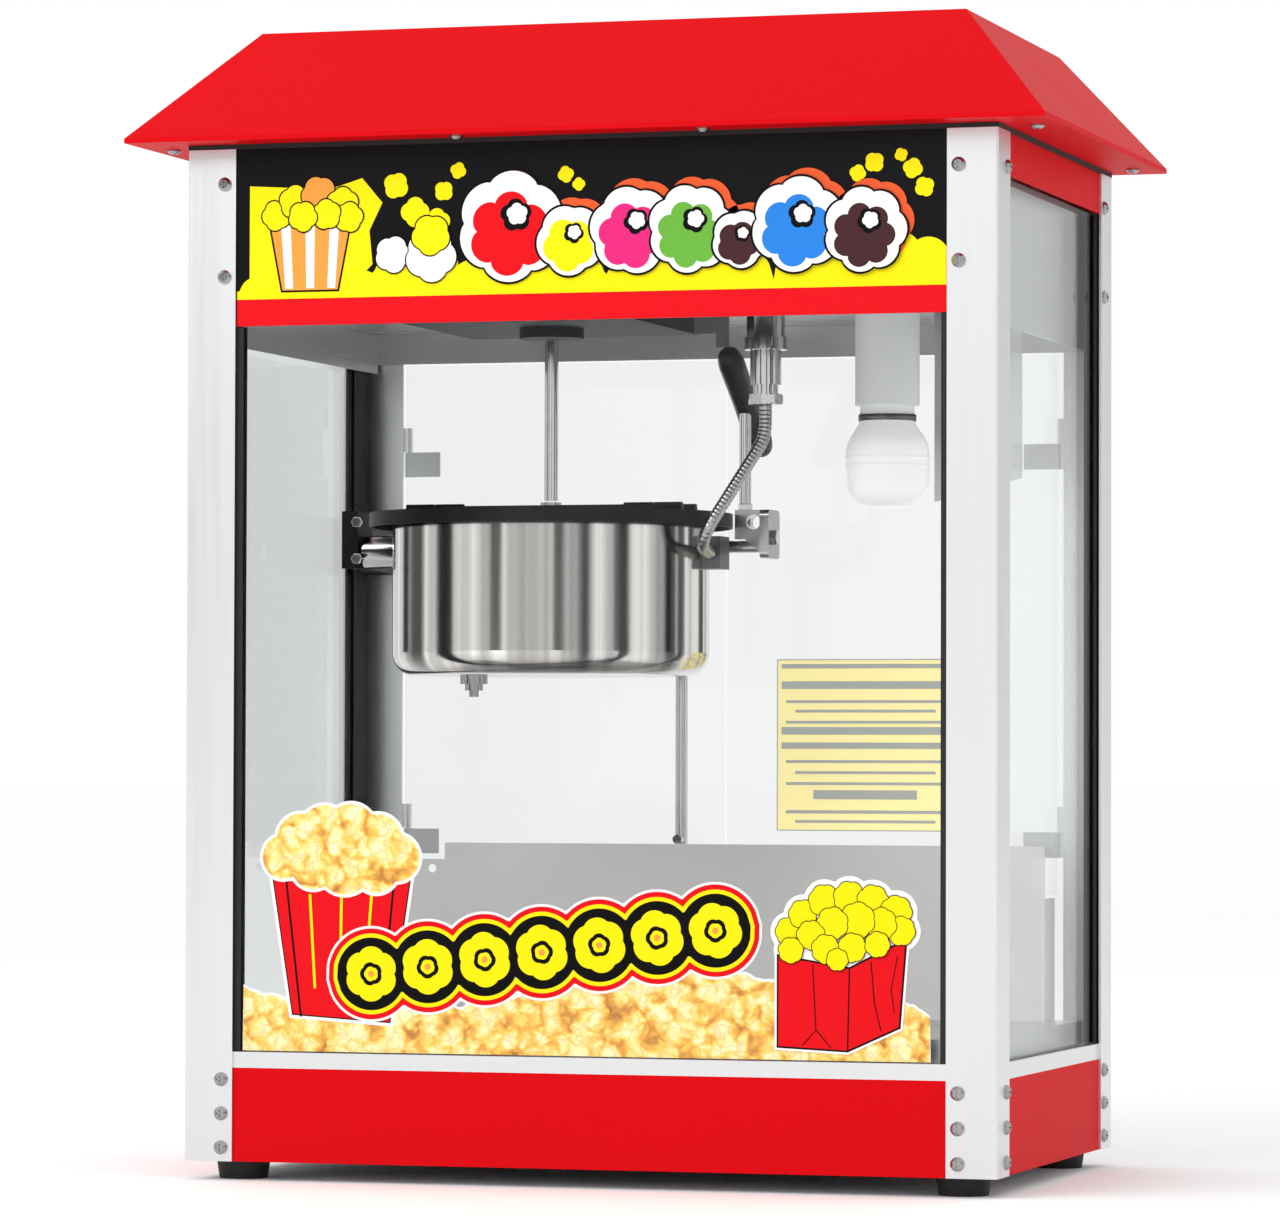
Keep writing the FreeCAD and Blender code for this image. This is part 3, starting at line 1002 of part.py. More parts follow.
def door_leaf(side, sign, spot):
    """The door's half of a hinge: leaf on the pane, web out to the lower barrel."""
    level = f"hinge_{spot}"
    axis_x, axis_y = f"{sign} * hinge_axis_x", "hinge_axis_y"
    edge = "(body_width / 2 - post_leg - door_side_gap)"
    under = (f"{level} - leaf_length / 2", level)
    leaf_x = sorted((f"{sign} * ({edge} - leaf_width)", f"{sign} * {edge}"), key=value)
    leaf = span_box(f"{side}_{spot}_door_leaf", leaf_x, (DOOR_OUT, f"{DOOR_OUT} + leaf_thick"), under)
    web_x = sorted((f"{sign} * ({edge} - 2.5)", f"{sign} * {edge}"), key=value)
    web = span_box(f"{side}_{spot}_web", web_x, (DOOR_OUT, f"{axis_y} + 1"), under)
    barrel = rod(f"{side}_{spot}_door_barrel", (axis_x, axis_y, under[0]), "hinge_radius", "leaf_length / 2")
    bore = rod(f"{side}_{spot}_door_bore", (axis_x, axis_y, f"{under[0]} - 1"), "hinge_pin + hinge_play",
               "leaf_length / 2 + 2")
    return cut(f"{side}_{spot}_door_half", fuse(f"{side}_{spot}_door_solid", leaf, web, barrel), bore)


def make_dam():
    """Steel dam plate before the doors, with a folded top lip and a hook notch at its left end."""
    body = new_body("dam_sheet")
    pad(body, "dam_pad", "XZ_Plane",
        [("-dam_half", "tray_top"), ("dam_half", "tray_top"), ("dam_half", "dam_top"), ("dam_notch_x", "dam_top"),
         ("dam_notch_x", "dam_notch_level"), ("-dam_half", "dam_notch_level")], "dam_thick",
        holes=[("dam_hook_x", "dam_hook_level", "dam_hook_radius / 2")])
    place(body, y="dam_y")
    lip = span_box("dam_fold", ("dam_notch_x + 2", "dam_half - dam_corner"), ("dam_y", "dam_y + dam_lip"),
                   ("dam_top - dam_thick", "dam_top"))
    wings = [span_box(f"dam_wing_{side}", sorted((f"{sign} * dam_half", f"{sign} * (dam_half - dam_thick)"),
                                                 key=value),
                      ("dam_y", "door_face - 3"), ("tray_top", "door_bottom - 2")) for side, sign in SIDES.items()]
    return fuse("dam_plate", body, lip, *wings)


def build():
    """Every sub-part's object, in the order it is made."""
    return [*make_posts(), *make_roof(), make_feet(), *make_base(), *make_glass(), *make_top_box(),
            *make_switches(), *make_drive(), *make_lamp(), *make_supply(), *make_kettle(), *make_lid(),
            make_agitator(), *make_hanger(), *make_handle(), *make_doors(), make_screws()]


def export(nodes):
    """Check every object and write one STEP file per sub-part."""
    doc.recompute()
    for item in doc.Objects:
        if {"Invalid", "Error"} & set(item.State):
            raise RuntimeError(f"{item.Label} failed: {item.State}")
    for node in nodes:
        if node.Shape.isNull() or not node.Shape.isValid() or not node.Shape.Solids:
            raise RuntimeError(f"{node.Label} has no valid solid")
    os.makedirs("parts", exist_ok=True)
    for node in nodes:
        node.Shape.exportStep(f"parts/{node.Label}.step")
    print(f"{len(nodes)} sub-parts written")


export(build())
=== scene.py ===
"""Looks of a table-top popcorn maker, built round its fixed frame.

The frame's nodes keep their places and meshes and are dressed here. Printed film, the grip,
the lamp globe, nuts, bezels and the door label are made here and ride the frame's bodies; the
armoured lead is made here and stays where it is built.
"""

import logging
import math
import random
from dataclasses import dataclass, field
from enum import Enum
from functools import lru_cache
from typing import Any, Callable, Iterable, Mapping, Sequence

import bmesh
import bpy
from mathutils import Matrix, Vector


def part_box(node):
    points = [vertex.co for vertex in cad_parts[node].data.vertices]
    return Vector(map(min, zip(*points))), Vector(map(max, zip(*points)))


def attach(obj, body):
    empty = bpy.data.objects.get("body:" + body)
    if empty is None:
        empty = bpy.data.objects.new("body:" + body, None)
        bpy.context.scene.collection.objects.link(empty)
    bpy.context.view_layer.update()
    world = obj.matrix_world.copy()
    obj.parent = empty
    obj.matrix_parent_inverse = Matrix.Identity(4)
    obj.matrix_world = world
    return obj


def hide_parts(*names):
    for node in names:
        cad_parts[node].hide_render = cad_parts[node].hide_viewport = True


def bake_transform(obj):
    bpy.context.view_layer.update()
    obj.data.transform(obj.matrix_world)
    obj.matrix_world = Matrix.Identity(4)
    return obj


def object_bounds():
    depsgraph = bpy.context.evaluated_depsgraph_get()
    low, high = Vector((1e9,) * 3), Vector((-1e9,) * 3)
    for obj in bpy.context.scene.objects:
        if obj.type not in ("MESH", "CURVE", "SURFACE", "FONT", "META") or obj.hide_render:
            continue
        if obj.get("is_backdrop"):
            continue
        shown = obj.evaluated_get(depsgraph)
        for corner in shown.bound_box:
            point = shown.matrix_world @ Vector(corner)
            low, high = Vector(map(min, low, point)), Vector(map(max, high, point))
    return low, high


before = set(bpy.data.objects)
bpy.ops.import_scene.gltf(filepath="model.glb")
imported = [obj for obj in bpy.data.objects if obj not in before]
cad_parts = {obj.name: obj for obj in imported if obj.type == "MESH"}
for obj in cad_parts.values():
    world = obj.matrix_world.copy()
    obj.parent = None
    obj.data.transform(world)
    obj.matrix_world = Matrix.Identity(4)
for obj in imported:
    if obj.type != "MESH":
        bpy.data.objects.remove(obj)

LOG = logging.getLogger("popcorn_maker")
MM = 0.001
Point2 = tuple[float, float]
Colour = tuple[float, float, float]


class Along(Enum):
    """The way a brushed or drawn metal's grain runs."""

    X = (3.0, 160.0, 160.0)
    Y = (160.0, 3.0, 160.0)
    Z = (160.0, 160.0, 3.0)
    NONE = (60.0, 60.0, 60.0)


class Body(Enum):
    """The frame's bodies that pieces made here ride on."""

    CABINET = "root"
    KETTLE = "kettle"
    RIGHT_DOOR = "right_door"


# ---------------------------------------------------------------- shader maths


class Value:
    """A number socket of a shader, with Python's arithmetic on it."""

    def __init__(self, shader: "Shader", socket: bpy.types.NodeSocket) -> None:
        """Wrap a socket.

        Args:
            shader: The shader that the socket belongs to.
            socket: The output socket that gives the number.
        """
        self.shader = shader
        self.socket = socket

    def _maths(self, operation: str, first: Any, second: Any = None) -> "Value":
        """Add one Math node.

        Args:
            operation: The Math node's operation.
            first: Its first input.
            second: Its second input, if it has one.

        Returns:
            The node's result.
        """
        inputs = {0: first} if second is None else {0: first, 1: second}
        made = self.shader.node("ShaderNodeMath", {"operation": operation}, inputs)
        return Value(self.shader, made.outputs[0])

    def __add__(self, other: Any) -> "Value":
        """This value plus another."""
        return self._maths("ADD", self, other)

    def __radd__(self, other: Any) -> "Value":
        """Another value plus this one."""
        return self._maths("ADD", other, self)

    def __sub__(self, other: Any) -> "Value":
        """This value less another."""
        return self._maths("SUBTRACT", self, other)

    def __rsub__(self, other: Any) -> "Value":
        """Another value less this one."""
        return self._maths("SUBTRACT", other, self)

    def __mul__(self, other: Any) -> "Value":
        """This value times another."""
        return self._maths("MULTIPLY", self, other)

    def __rmul__(self, other: Any) -> "Value":
        """Another value times this one."""
        return self._maths("MULTIPLY", other, self)

    def __pow__(self, other: Any) -> "Value":
        """This value to a power."""
        return self._maths("POWER", self, other)

    def at_most(self, other: Any) -> "Value":
        """The lower of this value and another."""
        return self._maths("MINIMUM", self, other)

    def angle_from(self, other: "Value") -> "Value":
        """The angle, in radians, whose sine goes with this value and cosine with the other."""
        return self._maths("ARCTAN2", self, other)


class Shader:
    """A material's node tree, written as Python."""

    def __init__(self, name: str) -> None:
        """Start an empty tree.

        Args:
            name: The material's name.
        """
        self.material = bpy.data.materials.new(name)
        self.material.use_nodes = True
        self.tree = self.material.node_tree
        self.tree.nodes.clear()

    def node(self, kind: str, settings: Mapping[str, Any] | None = None,
             inputs: Mapping[Any, Any] | None = None) -> bpy.types.Node:
        """Make any node.

        Args:
            kind: The node's type.
            settings: Attributes set first; "stops" fills a ramp with (place, colour) pairs.
            inputs: Values, sockets or Value objects, by socket name or number.

        Returns:
            The new node.
        """
        made = self.tree.nodes.new(kind)
        for key, setting in (settings or {}).items():
            if key == "stops":
                self._fill_ramp(made.color_ramp, setting)
            else:
                setattr(made, key, setting)
        for key, given in (inputs or {}).items():
            socket = made.inputs[key]
            if isinstance(given, Value):
                self.tree.links.new(given.socket, socket)
            elif isinstance(given, bpy.types.NodeSocket):
                self.tree.links.new(given, socket)
            else:
                socket.default_value = given
        return made

    @staticmethod
    def _fill_ramp(ramp: bpy.types.ColorRamp, stops: Sequence[tuple[float, Colour]]) -> None:
        """Give a ramp its stops.

        Args:
            ramp: The ramp to fill.
            stops: Pairs of a place from 0 to 1 and a colour.
        """
        while len(ramp.elements) < len(stops):
            ramp.elements.new(1.0)
        for element, (position, colour) in zip(ramp.elements, stops):
            element.position = position
            element.color = (*colour, 1.0)

    def spot(self) -> bpy.types.NodeSocket:
        """The point on the piece, in metres, in the frame's own axes."""
        return self.node("ShaderNodeTexCoord").outputs["Object"]

    def stretched(self, scale: Sequence[float]) -> bpy.types.NodeSocket:
        """The point with each axis scaled.

        Args:
            scale: How much each axis is scaled.

        Returns:
            The scaled point's socket.
        """
        made = self.node("ShaderNodeVectorMath", {"operation": "MULTIPLY"},
                         {0: self.spot(), 1: tuple(scale)})
        return made.outputs[0]

    def speckle(self, scale: Sequence[float], detail: float = 3.0, size: float = 1.0) -> Value:
        """Soft noise over the piece.

        Args:
            scale: How much each axis is scaled before the noise.
            detail: How many finer layers the noise has.
            size: The noise's own scale.

        Returns:
            A value about 0.5 that varies from 0 to 1.
        """
        made = self.node("ShaderNodeTexNoise", None,
                         {"Vector": self.stretched(scale), "Scale": size, "Detail": detail})
        return Value(self, made.outputs[0])

    def blend(self, factor: Any, low: Any, high: Any) -> bpy.types.NodeSocket:
        """Mix two colours.

        Args:
            factor: How much of the second colour shows.
            low: The first colour.
            high: The second colour.

        Returns:
            The mixed colour's socket.
        """
        pick = [colour if not isinstance(colour, tuple) else (*colour, 1.0) for colour in (low, high)]
        made = self.node("ShaderNodeMix", {"data_type": "RGBA"}, {0: factor, 6: pick[0], 7: pick[1]})
        return made.outputs[2]

    def bump(self, height: Value, depth: float, strength: float = 1.0) -> bpy.types.NodeSocket:
        """Turn a height into a normal.

        Args:
            height: The height, from 0 to 1.
            depth: What a height of 1 is, in metres.
            strength: How strongly it shows.

        Returns:
            The normal's socket.
        """
        made = self.node("ShaderNodeBump", None,
                         {"Height": height, "Distance": depth, "Strength": strength})
        return made.outputs[0]

    def principled(self, inputs: Mapping[str, Any]) -> bpy.types.Node:
        """Make a Principled shader with these inputs."""
        return self.node("ShaderNodeBsdfPrincipled", None, inputs)

    def finish(self, surface: bpy.types.Node) -> bpy.types.Material:
        """Send a shader to the output.

        Args:
            surface: The node whose first output is the surface.

        Returns:
            The finished material.
        """
        self.node("ShaderNodeOutputMaterial", None, {"Surface": surface.outputs[0]})
        return self.material


# -------------------------------------------------------------------- finishes


@dataclass(frozen=True)
class Finish:
    """How a surface looks. Each kind of finish builds its own shader."""

    name: str
    colour: Colour

    def shade(self, shader: Shader) -> bpy.types.Node:
        """Build the surface's shader node.

        Args:
            shader: The tree to build in.

        Returns:
            The node whose output is the surface.
        """
        return shader.principled({"Base Color": (*self.colour, 1.0)})

    def material(self) -> bpy.types.Material:
        """The material of this finish, made once."""
        return mixed(self)


@lru_cache(maxsize=None)
def mixed(finish: Finish) -> bpy.types.Material:
    """Build a finish's material once and keep it.

    Args:
        finish: The finish.

    Returns:
        Its material.
    """
    shader = Shader(finish.name)
    return shader.finish(finish.shade(shader))


@dataclass(frozen=True)
class Enamel(Finish):
    """Smooth sprayed or stoved paint, or printed gloss film."""

    roughness: float = 0.38
    coat: float = 0.15
    sheen: float = 0.22

    def shade(self, shader: Shader) -> bpy.types.Node:
        """Paint with a slow change of tone, fine unevenness and a thin clear coat.

        Args:
            shader: The tree to build in.

        Returns:
            The node whose output is the surface.
        """
        cloud = shader.speckle((4.0, 4.0, 4.0), 2.0)
        dark = tuple(part * 0.93 for part in self.colour)
        ripple = shader.speckle((420.0, 420.0, 420.0), 1.0)
        return shader.principled({
            "Base Color": shader.blend(cloud, dark, self.colour),
            "Roughness": self.roughness + 0.06 * (cloud - 0.5),
            "Coat Weight": self.coat, "Coat Roughness": 0.12, "Specular IOR Level": self.sheen,
            "Normal": shader.bump(ripple, 0.00004, 0.25)})


@dataclass(frozen=True)
class Metal(Finish):
    """Bare metal with a drawn or brushed grain."""

    roughness: float = 0.3
    grain: Along = Along.NONE
    streak: float = 0.08
    tooth: float = 0.00002

    def shade(self, shader: Shader) -> bpy.types.Node:
        """Metal whose tone and polish follow the grain.

        Args:
            shader: The tree to build in.

        Returns:
            The node whose output is the surface.
        """
        fine = shader.speckle(self.grain.value, 4.0, 2.2)
        broad = shader.speckle(tuple(part * 0.12 for part in self.grain.value), 2.0)
        dark = tuple(part * (1.0 - 2.2 * self.streak) for part in self.colour)
        tone = (0.55 * fine + 0.45 * broad)
        return shader.principled({
            "Base Color": shader.blend(tone, dark, self.colour), "Metallic": 1.0,
            "Roughness": self.roughness + self.streak * 1.6 * (fine - 0.5) + 0.06 * (broad - 0.5),
            "Normal": shader.bump(fine, self.tooth, 0.5)})


@dataclass(frozen=True)
class SpunSteelPaintedReflections(Finish):
    """Polished spun steel of a round vessel, with painted reflections: soft upright dark and light bands round its axis
    in the base colour.
    """

    centre: Point2 = (0.0, 0.0)
    wall: float = 0.098
    roughness: float = 0.13
    # How dark the darkest painted reflection band is, as a share of the colour.
    depth: float = 0.92

    def shade(self, shader: Shader) -> bpy.types.Node:
        """Steel whose base colour carries painted reflections as bands set by the angle round the vessel's axis, with
        fine upright grain.

        Args:
            shader: The tree to build in.

        Returns:
            The node whose output is the surface.
        """
        moved = shader.node("ShaderNodeVectorMath", {"operation": "SUBTRACT"},
                            {0: shader.spot(), 1: (*self.centre, 0.0)}).outputs[0]
        split = shader.node("ShaderNodeSeparateXYZ", None, {0: moved})
        x, y = Value(shader, split.outputs[0]), Value(shader, split.outputs[1])
        angle = y.angle_from(x)
        # Painted reflections: a slow wave round the axis picks dark and light bands from the ramp below.
        reflection_wave = shader.node("ShaderNodeTexNoise", {"noise_dimensions": "1D"},
                           {"W": angle * 1.9 + 4.1, "Scale": 1.7, "Detail": 2.5})
        band = Value(shader, reflection_wave.outputs[0])
        ramp = shader.node("ShaderNodeValToRGB", {"stops": [
            (0.34, tuple(part * (1.0 - self.depth) for part in self.colour)),
            (0.47, tuple(part * 0.62 for part in self.colour)), (0.55, self.colour),
            (0.67, tuple(part * 0.5 for part in self.colour))]}, {0: band})
        hair = shader.speckle((900.0, 900.0, 12.0), 2.0)
        # Near the wall the painted reflection bands show; further in, a plain tone at 0.8 of the colour.
        reach = (x * x + y * y) ** 0.5 * (1.0 / self.wall)
        wall = (reach ** 14.0).at_most(1.0)
        return shader.principled({
            "Base Color": shader.blend(wall, tuple(part * 0.8 for part in self.colour), ramp.outputs[0]),
            "Metallic": 1.0,
            "Roughness": self.roughness + 0.08 * (hair - 0.5) + 0.05 * (band - 0.5),
            "Normal": shader.bump(hair, 0.00001, 0.3)})


@dataclass(frozen=True)
class Moulded(Finish):
    """Plastic, rubber or ceramic."""

    roughness: float = 0.4
    pebble: float = 0.00003
    glow: float = 0.0
    sheen: float = 0.3

    def shade(self, shader: Shader) -> bpy.types.Node:
        """A moulded surface with a fine pebble and slight wear in its gloss.

        Args:
            shader: The tree to build in.

        Returns:
            The node whose output is the surface.
        """
        wear = shader.speckle((25.0, 25.0, 25.0), 3.0)
        pebble = shader.speckle((1400.0, 1400.0, 1400.0), 1.0)
        light = tuple(min(1.0, part * 1.06 + 0.004) for part in self.colour)
        return shader.principled({
            "Base Color": shader.blend(wear, self.colour, light),
            "Roughness": self.roughness + 0.1 * (wear - 0.5),
            # Emission: on the door label and the lamp socket this glow is painted light.
            "Emission Color": (*self.colour, 1.0), "Emission Strength": self.glow,
            "Specular IOR Level": self.sheen,
            "Normal": shader.bump(pebble, self.pebble, 0.4)})


@dataclass(frozen=True)
class ClearPane(Finish):
    """Thin clear glass or acrylic: see-through, with a reflection that grows edge-on."""

    film: float = 0.04

    def shade(self, shader: Shader) -> bpy.types.Node:
        """Transparent mixed with a mirror-like film by how edge-on the surface is seen.

        Args:
            shader: The tree to build in.

        Returns:
            The node whose output is the surface.
        """
        smear = shader.speckle((7.0, 7.0, 5.0), 3.0)
        rim = Value(shader, shader.node("ShaderNodeFresnel", None, {"IOR": 1.25}).outputs[0])
        clear = shader.node("ShaderNodeBsdfTransparent", None, {"Color": (*self.colour, 1.0)})
        gloss = shader.principled({"Base Color": (0.92, 0.94, 0.95, 1.0), "Metallic": 1.0,
                                   "Roughness": 0.03 + 0.04 * smear})
        share = (rim * 0.4 + self.film * smear).at_most(1.0)
        return shader.node("ShaderNodeMixShader", None,
                           {0: share, 1: clear.outputs[0], 2: gloss.outputs[0]})


@dataclass(frozen=True)
class PoppedCornPrint(Finish):
    """Printed film that shows a heap of popped corn."""

    kernel: float = 95.0

    def shade(self, shader: Shader) -> bpy.types.Node:
        """Creamy lobes with amber hollows between them, over a finer layer of the same.

        Args:
            shader: The tree to build in.

        Returns:
            The node whose output is the surface.
        """
        warp = shader.node("ShaderNodeTexNoise", None,
                           {"Vector": shader.stretched((self.kernel * 0.9,) * 3), "Detail": 2.0,
                            "Scale": 1.0})
        pushed = shader.node("ShaderNodeVectorMath", {"operation": "MULTIPLY_ADD"},
                             {0: warp.outputs[1], 1: (0.016, 0.016, 0.016), 2: shader.spot()})
        cells = shader.node("ShaderNodeTexVoronoi", {"feature": "F1"},
                            {"Vector": pushed.outputs[0], "Scale": self.kernel})
        lobes = shader.node("ShaderNodeTexVoronoi", {"feature": "SMOOTH_F1"},
                            {"Vector": pushed.outputs[0], "Scale": self.kernel * 2.4})
        body = Value(shader, cells.outputs["Distance"])
        lump = Value(shader, lobes.outputs["Distance"])
        shade = (body * 0.95 + lump * 0.5 - 0.38).at_most(1.0)
        ramp = shader.node("ShaderNodeValToRGB", {"stops": [
            (0.0, (1.0, 0.93, 0.58)), (0.28, (1.0, 0.82, 0.3)), (0.42, (0.96, 0.62, 0.1)),
            (0.55, (0.8, 0.36, 0.04)), (0.75, (0.4, 0.12, 0.01))]}, {0: shade})
        tint = Value(shader, shader.node("ShaderNodeSeparateColor", None,
                                         {0: cells.outputs["Color"]}).outputs[0])
        warm = shader.blend(0.3 * tint, ramp.outputs[0], (1.0, 0.62, 0.12))
        rims = shader.node("ShaderNodeTexVoronoi", {"feature": "DISTANCE_TO_EDGE"},
                           {"Vector": pushed.outputs[0], "Scale": self.kernel * 1.25})
        crease = shader.node("ShaderNodeValToRGB", {"stops": [
            (0.0, (0.85, 0.85, 0.85)), (0.05, (0.4, 0.4, 0.4)), (0.12, (0.0, 0.0, 0.0))]},
                             {0: rims.outputs["Distance"]})
        groove = Value(shader, shader.node("ShaderNodeSeparateColor", None, {0: crease.outputs[0]}).outputs[0])
        warm = shader.blend(groove * 0.5, warm, (0.72, 0.33, 0.04))
        return shader.principled({"Base Color": warm, "Roughness": 0.3 + 0.15 * lump,
                                  "Coat Weight": 0.2})


class Paint:
    """Every finish the machine uses."""

    RED = Enamel("cabinet_red_paint", (0.68, 0.002, 0.006), 0.5, 0.0, 0.05)
    BLACK_FIELD = Enamel("black_sign_film", (0.004, 0.004, 0.005), 0.3, 0.0, 0.12)
    YELLOW_FILM = Enamel("yellow_film", (0.98, 0.82, 0.004), 0.4, 0.0, 0.1)
    RED_FILM = Enamel("red_film", (0.8, 0.004, 0.01), 0.4, 0.0, 0.1)
    WHITE_FILM = Enamel("white_film", (0.93, 0.93, 0.92), 0.35, 0.2)
    INK = Enamel("black_ink_film", (0.003, 0.003, 0.003), 0.45, 0.0, 0.08)
    ORANGE_FILM = Enamel("orange_film", (0.87, 0.35, 0.05), 0.35, 0.2)
    FLAME_FILM = Enamel("flame_film", (0.85, 0.1, 0.015), 0.35, 0.2)
    MAGENTA_FILM = Enamel("magenta_film", (0.8, 0.01, 0.2), 0.35, 0.2)
    GREEN_FILM = Enamel("green_film", (0.14, 0.45, 0.04), 0.35, 0.2)
    BLUE_FILM = Enamel("blue_film", (0.01, 0.22, 0.75), 0.35, 0.2)
    MAROON_FILM = Enamel("maroon_film", (0.05, 0.006, 0.01), 0.35, 0.2)
    # The door label's film and bars glow: painted light that brightens a label standing in shade.
    LABEL_FILM_PAINTED_GLOW = Moulded("label_film_painted_glow", (0.95, 0.83, 0.38), 0.5, 0.0, 0.5, 0.1)
    LABEL_BAR_PAINTED_GLOW = Moulded("label_bar_film_painted_glow", (0.4, 0.41, 0.38), 0.5, 0.0, 0.4, 0.1)
    POST = Metal("post_aluminium", (0.83, 0.835, 0.845), 0.34, Along.Z, 0.04)
    SILL = Metal("sill_aluminium", (0.83, 0.835, 0.845), 0.34, Along.X, 0.04)
    SHEET = Metal("stainless_sheet", (0.6, 0.6, 0.61), 0.3, Along.X, 0.06)
    DAM = Enamel("dam_sheet", (0.83, 0.82, 0.8), 0.42, 0.0, 0.4)
    SIDE_SHEET = Metal("stainless_side_sheet", (0.6, 0.6, 0.61), 0.3, Along.Y, 0.06)
    BRIGHT = Metal("bright_plating", (0.66, 0.65, 0.645), 0.12, Along.NONE, 0.05)
    CEILING = Metal("ceiling_sheet", (0.36, 0.36, 0.37), 0.26, Along.X, 0.06)
    STRAP = Metal("strap_steel", (0.8, 0.8, 0.81), 0.3, Along.X, 0.05)
    CAST = Metal("plated_casting", (0.55, 0.54, 0.54), 0.22, Along.NONE, 0.08, 0.00005)
    SCREW = Metal("screw_steel", (0.42, 0.42, 0.43), 0.22, Along.NONE, 0.1)
    MOTOR = Metal("motor_casting", (0.5, 0.5, 0.52), 0.5, Along.NONE, 0.12, 0.0001)
    DARK_STEEL = Metal("dark_steel", (0.16, 0.16, 0.17), 0.4, Along.NONE, 0.1)
    ARMOUR = Metal("lead_armour", (0.46, 0.455, 0.45), 0.24, Along.NONE, 0.1)
    LID_BLACK = Enamel("lid_black", (0.006, 0.006, 0.006), 0.4, 0.0, 0.12)
    PLATE_BLACK = Enamel("plate_black", (0.01, 0.01, 0.01), 0.5, 0.0, 0.1)
    RUBBER = Moulded("seal_rubber", (0.014, 0.014, 0.014), 0.6, 0.00008)
    GRIP = Moulded("grip_plastic", (0.005, 0.005, 0.005), 0.26, 0.00003, 0.0, 0.25)
    SWITCH = Moulded("switch_plastic", (0.015, 0.015, 0.016), 0.35)
    LIT_SWITCH = Moulded("lit_switch_plastic", (0.55, 0.01, 0.01), 0.3)
    # The lamp socket glows faintly: painted light on a part that is no lamp.
    SOCKET = Moulded("socket_ceramic_painted_glow", (0.8, 0.81, 0.81), 0.42, 0.00003, 0.08)
    GLOBE = Moulded("opal_globe", (0.93, 0.93, 0.93), 0.16, 0.00001, 0.22)
    GLASS = ClearPane("pane_glass", (0.98, 0.985, 0.985), 0.008)
    ACRYLIC = ClearPane("door_acrylic", (0.965, 0.967, 0.967), 0.03)
    POPCORN = PoppedCornPrint("popped_corn_film", (0.98, 0.8, 0.4))


# ---------------------------------------------------------------------- meshes


@lru_cache(maxsize=None)
def cabinet_origin() -> tuple[float, float]:
    """How far back the middle of the posts stands and how high their feet are, in metres."""
    front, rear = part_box("post_front_left"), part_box("post_rear_left")
    return (front[0].y + rear[1].y) / 2, front[0].z


def machine_point(x: float, y: float, z: float) -> Vector:
    """Turn a point of the cabinet's own axes into the frame.

    Args:
        x: Millimetres to the right of the middle.
        y: Millimetres behind the middle of the posts.
        z: Millimetres over the posts' feet.

    Returns:
        The point in metres in the frame.
    """
    middle, foot = cabinet_origin()
    return Vector((x * MM, middle + y * MM, foot + z * MM))


def mesh_piece(name: str, shape: bmesh.types.BMesh, finish: Finish,
               smooth: bool = True) -> bpy.types.Object:
    """Turn a built shape into a dressed object.

    Args:
        name: The object's name.
        shape: The shape, which is freed.
        finish: What it is dressed in.
        smooth: Whether its faces are shaded smooth.

    Returns:
        The new object, linked to the scene.
    """
    bmesh.ops.recalc_face_normals(shape, faces=shape.faces)
    data = bpy.data.meshes.new(name)
    shape.to_mesh(data)
    shape.free()
    data.polygons.foreach_set("use_smooth", [smooth] * len(data.polygons))
    made = bpy.data.objects.new(name, data)
    bpy.context.scene.collection.objects.link(made)
    made.data.materials.append(finish.material())
    return made


def rounded_profile(points: Sequence[Point2], radius: float, steps: int = 5) -> list[Point2]:
    """Round the inner corners of a profile.

    Args:
        points: Radius and height pairs.
        radius: How far from a corner the rounding starts.
        steps: How many pieces each rounding has.

    Returns:
        The profile with its corners rounded.
    """
    made = [points[0]]
    for before, corner, after in zip(points, points[1:], points[2:]):
        middle = Vector(corner)
        back, ahead = Vector(before) - middle, Vector(after) - middle
        start = middle + back.normalized() * min(radius, back.length * 0.49)
        end = middle + ahead.normalized() * min(radius, ahead.length * 0.49)
        for step in range(steps + 1):
            share = step / steps
            spot = start * (1 - share) ** 2 + middle * 2 * share * (1 - share) + end * share ** 2
            made.append((spot.x, spot.y))
    return made + [points[-1]]


def lathe(profile: Sequence[Point2], turn: Matrix, segments: int = 64) -> bmesh.types.BMesh:
    """Spin a profile round an axis into a closed shape.

    Args:
        profile: Radius and height pairs in millimetres, from axis to axis.
        turn: Where the axis stands.
        segments: How many sides the turning has.

    Returns:
        The shape, in metres.
    """
    shape = bmesh.new()
    rings: list[list[bmesh.types.BMVert]] = []
    for radius, height in profile:
        if radius < 1e-6:
            rings.append([shape.verts.new(turn @ Vector((0, 0, height * MM)))])
            continue
        ring = []
        for side in range(segments):
            angle = 2 * math.pi * side / segments
            spot = Vector((math.cos(angle) * radius, math.sin(angle) * radius, height)) * MM
            ring.append(shape.verts.new(turn @ spot))
        rings.append(ring)
    for low, high in zip(rings, rings[1:]):
        for side in range(segments):
            after = (side + 1) % segments
            corners = [low[side % len(low)], low[after % len(low)],
                       high[after % len(high)], high[side % len(high)]]
            unique = list(dict.fromkeys(corners))
            if len(unique) > 2:
                shape.faces.new(unique)
    return shape


def joined(shapes: Iterable[bmesh.types.BMesh]) -> bmesh.types.BMesh:
    """Put several shapes in one.

    Args:
        shapes: The shapes, which are freed.

    Returns:
        One shape that holds them all.
    """
    whole = bmesh.new()
    for shape in shapes:
        spare = bpy.data.meshes.new("spare")
        shape.to_mesh(spare)
        shape.free()
        whole.from_mesh(spare)
        bpy.data.meshes.remove(spare)
    return whole


def facing(direction: Sequence[float], spot: Vector) -> Matrix:
    """A placing whose own Z axis points along a direction.

    Args:
        direction: Where the axis points.
        spot: Where its foot stands.

    Returns:
        The placing.
    """
    return Matrix.Translation(spot) @ Vector(direction).to_track_quat("Z", "Y").to_matrix().to_4x4()


# --------------------------------------------------------------- printed shapes


